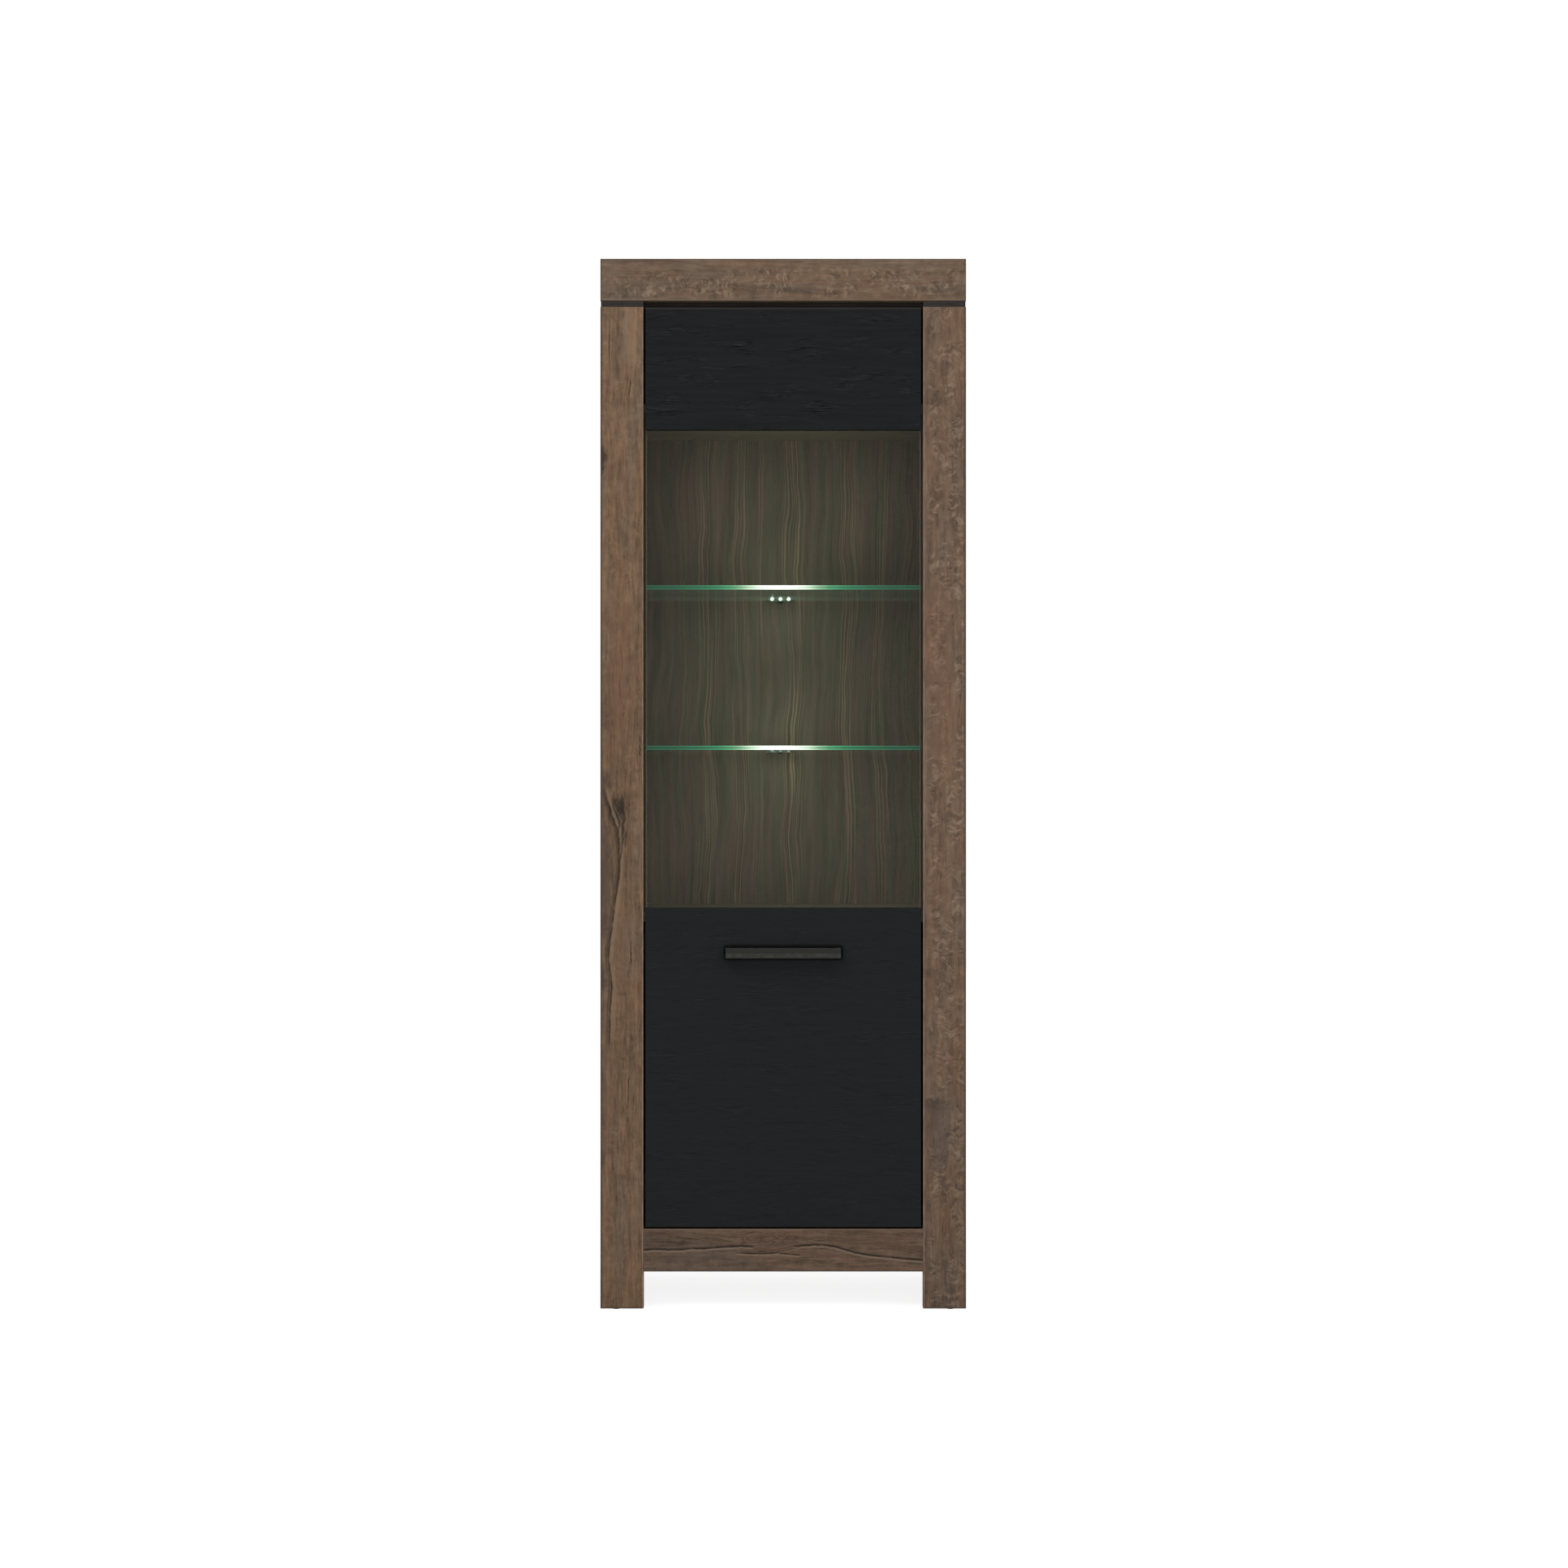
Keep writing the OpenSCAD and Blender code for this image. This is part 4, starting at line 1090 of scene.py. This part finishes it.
def make_floor():
    """A plain white disc, lit a little from within so that it stays pale in shade."""
    bm = bmesh.new()
    bmesh.ops.create_circle(bm, cap_ends=True, segments=96, radius=FLOOR_RADIUS)
    mesh = bpy.data.meshes.new("floor")
    bm.to_mesh(mesh)
    bm.free()
    floor = bpy.data.objects.new("floor", mesh)
    scene.collection.objects.link(floor)
    s = Shader("floor_white")
    x, y, _ = s.point()
    seen = s.node("LightPath").outputs["Is Camera Ray"]
    rough = s.step(s.noise(s.mul(x, 0.01), s.mul(y, 0.01), 0.0), 0, 1, 0.7, 0.9)
    made = s.surface((0.35, 0.35, 0.35), rough, Specular_IOR_Level=0.0)
    made.inputs["Emission Color"].default_value = (1, 1, 1, 1)
    s.put(made.inputs["Emission Strength"], s.mul(seen, FLOOR_GLOW))
    mesh.materials.append(s.mat)


def make_world():
    """White behind the cabinet, and a softer room for light, darkest straight ahead."""
    world = bpy.data.worlds.new("studio")
    scene.world = world
    world.use_nodes = True
    tree = world.node_tree
    tree.nodes.clear()

    def node(kind, *values):
        made = tree.nodes.new("ShaderNode" + kind)
        for socket, value in zip(made.inputs, values):
            if isinstance(value, bpy.types.NodeSocket):
                tree.links.new(value, socket)
            elif value is not None:
                socket.default_value = value
        return made

    place = node("TexCoord")
    split = node("SeparateXYZ", place.outputs["Generated"])
    ahead = node("MapRange", split.outputs[1], -0.96, -0.70, ROOM_AHEAD, ROOM)
    ahead.interpolation_type = "SMOOTHSTEP"
    room = node("Background", (1, 1, 1, 1), ahead.outputs[0])
    white = node("Background", (1, 1, 1, 1), BACKDROP)
    path = node("LightPath")
    both = node("MixShader", path.outputs["Is Camera Ray"], room.outputs[0], white.outputs[0])
    node("OutputWorld", both.outputs[0])


def add_lamp(name, kind, energy, **settings):
    data = bpy.data.lights.new(name, kind)
    data.energy = energy
    for key, value in settings.items():
        setattr(data, key, value)
    lamp = bpy.data.objects.new(name, data)
    scene.collection.objects.link(lamp)
    return lamp


def place_unseen(lamp, place, tilt=0):
    """Puts a lamp in its place, turned up by tilt degrees and never seen or mirrored."""
    lamp.location = place
    lamp.rotation_euler = (math.radians(tilt), 0, 0)
    lamp.visible_camera = False
    lamp.visible_glossy = False


def add_sun(name, azimuth, elevation, strength, spread):
    """A soft distant lamp; azimuth 0 shines from the front, 90 from the right."""
    lamp = add_lamp(name, "SUN", strength, angle=math.radians(spread))
    a, e = math.radians(azimuth), math.radians(elevation)
    towards = Vector((math.sin(a) * math.cos(e), -math.cos(a) * math.cos(e), math.sin(e)))
    lamp.rotation_mode = "QUATERNION"
    lamp.rotation_quaternion = towards.to_track_quat("Z", "Y")


def add_front_panel():
    """A large soft lamp in front of the cabinet that reaches into it."""
    lamp = add_lamp("front_panel", "AREA", 40.0, shape="RECTANGLE", size=2.6, size_y=2.4)
    place_unseen(lamp, (0.0, front_y - 3.6, 1.15), 90)


def add_spill(which):
    """The greenish light that a shelf's lamps throw on the back round them."""
    lo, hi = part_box(f"light_leds_{which}")
    middle = (lo + hi) / 2
    for rise in (0.045, -0.045):
        lamp = add_lamp(
            f"spill_{which}", "POINT", 0.05, color=(0.78, 1.0, 0.66), shadow_soft_size=0.03,
        )
        place_unseen(lamp, (middle.x, middle.y - 0.07, middle.z + rise))


def add_under_top():
    """A soft lamp inside the glazed part that lights the underside of its top."""
    lamp = add_lamp(
        "under_top", "AREA", 0.12, shape="RECTANGLE", size=0.42, size_y=0.20,
        color=(1.0, 0.96, 0.86),
    )
    place_unseen(lamp, (0.0, 0.02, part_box("upper_fixed_shelf")[0].z - 0.28), 180)


def make_camera():
    """Straight on, at the height from which the photo was taken."""
    data = bpy.data.cameras.new("camera")
    data.lens = CAMERA_LENS
    data.sensor_width = SENSOR_WIDTH
    camera = bpy.data.objects.new("camera", data)
    scene.collection.objects.link(camera)
    camera.location = (CAMERA_SIDE, front_y - CAMERA_AWAY, CAMERA_HEIGHT)
    camera.rotation_euler = (math.radians(90), 0, 0)
    scene.camera = camera


def make_studio():
    scene.view_settings.view_transform = "Standard"
    make_floor()
    make_world()
    for name, values in SUNS.items():
        add_sun(name, *values)
    add_front_panel()
    for which in SHELVES:
        add_spill(which)
    add_under_top()
    make_camera()


# ---------------------------------------------------------------- build

oaks = oak_materials()
make_front_boards(oaks)
make_top_boards(oaks)
make_pane(
    glass("pane_glass", (0.94, 0.955, 0.94), veil=0.015, gloss=1.8, dust_and_painted_light=(0.10, 0.12, 0.11)),
    # The strip's hazy veil is painted light, standing in for light the glass carries to its edges
    glass("pane_strip", (0.92, 0.94, 0.92), veil=0.45, gloss=GLASS_IOR,
          dust_and_painted_light=(0.148, 0.133, 0.098)),
    glass_edge("pane_ground_edge", (0.092, 0.082, 0.060)),
)
# The shelf glass's pale green sheen colour is painted light: the back seen mirrored at a slant
# and the lamps' green light in the glass
shelf_glass = glass("shelf_glass", (0.975, 0.99, 0.98), veil=0.03, gloss=3.0,
                    dust_and_painted_light=(0.52, 0.66, 0.56))
green_edge = glass_edge("pane_edge", (0.085, 0.115, 0.085))
hazy_edge = glass("shelf_rear_edge", (0.96, 0.98, 0.96), veil=0.12, gloss=GLASS_IOR,
                  dust_and_painted_light=(0.85, 0.90, 0.80))
for which in SHELVES:
    make_glass_shelf(which, shelf_glass, green_edge, hazy_edge)
make_handle(metal("bronze_lacquer", (0.082, 0.082, 0.074), 0.40, specks=0.04))
dress_cad_nodes(oaks)
make_studio()
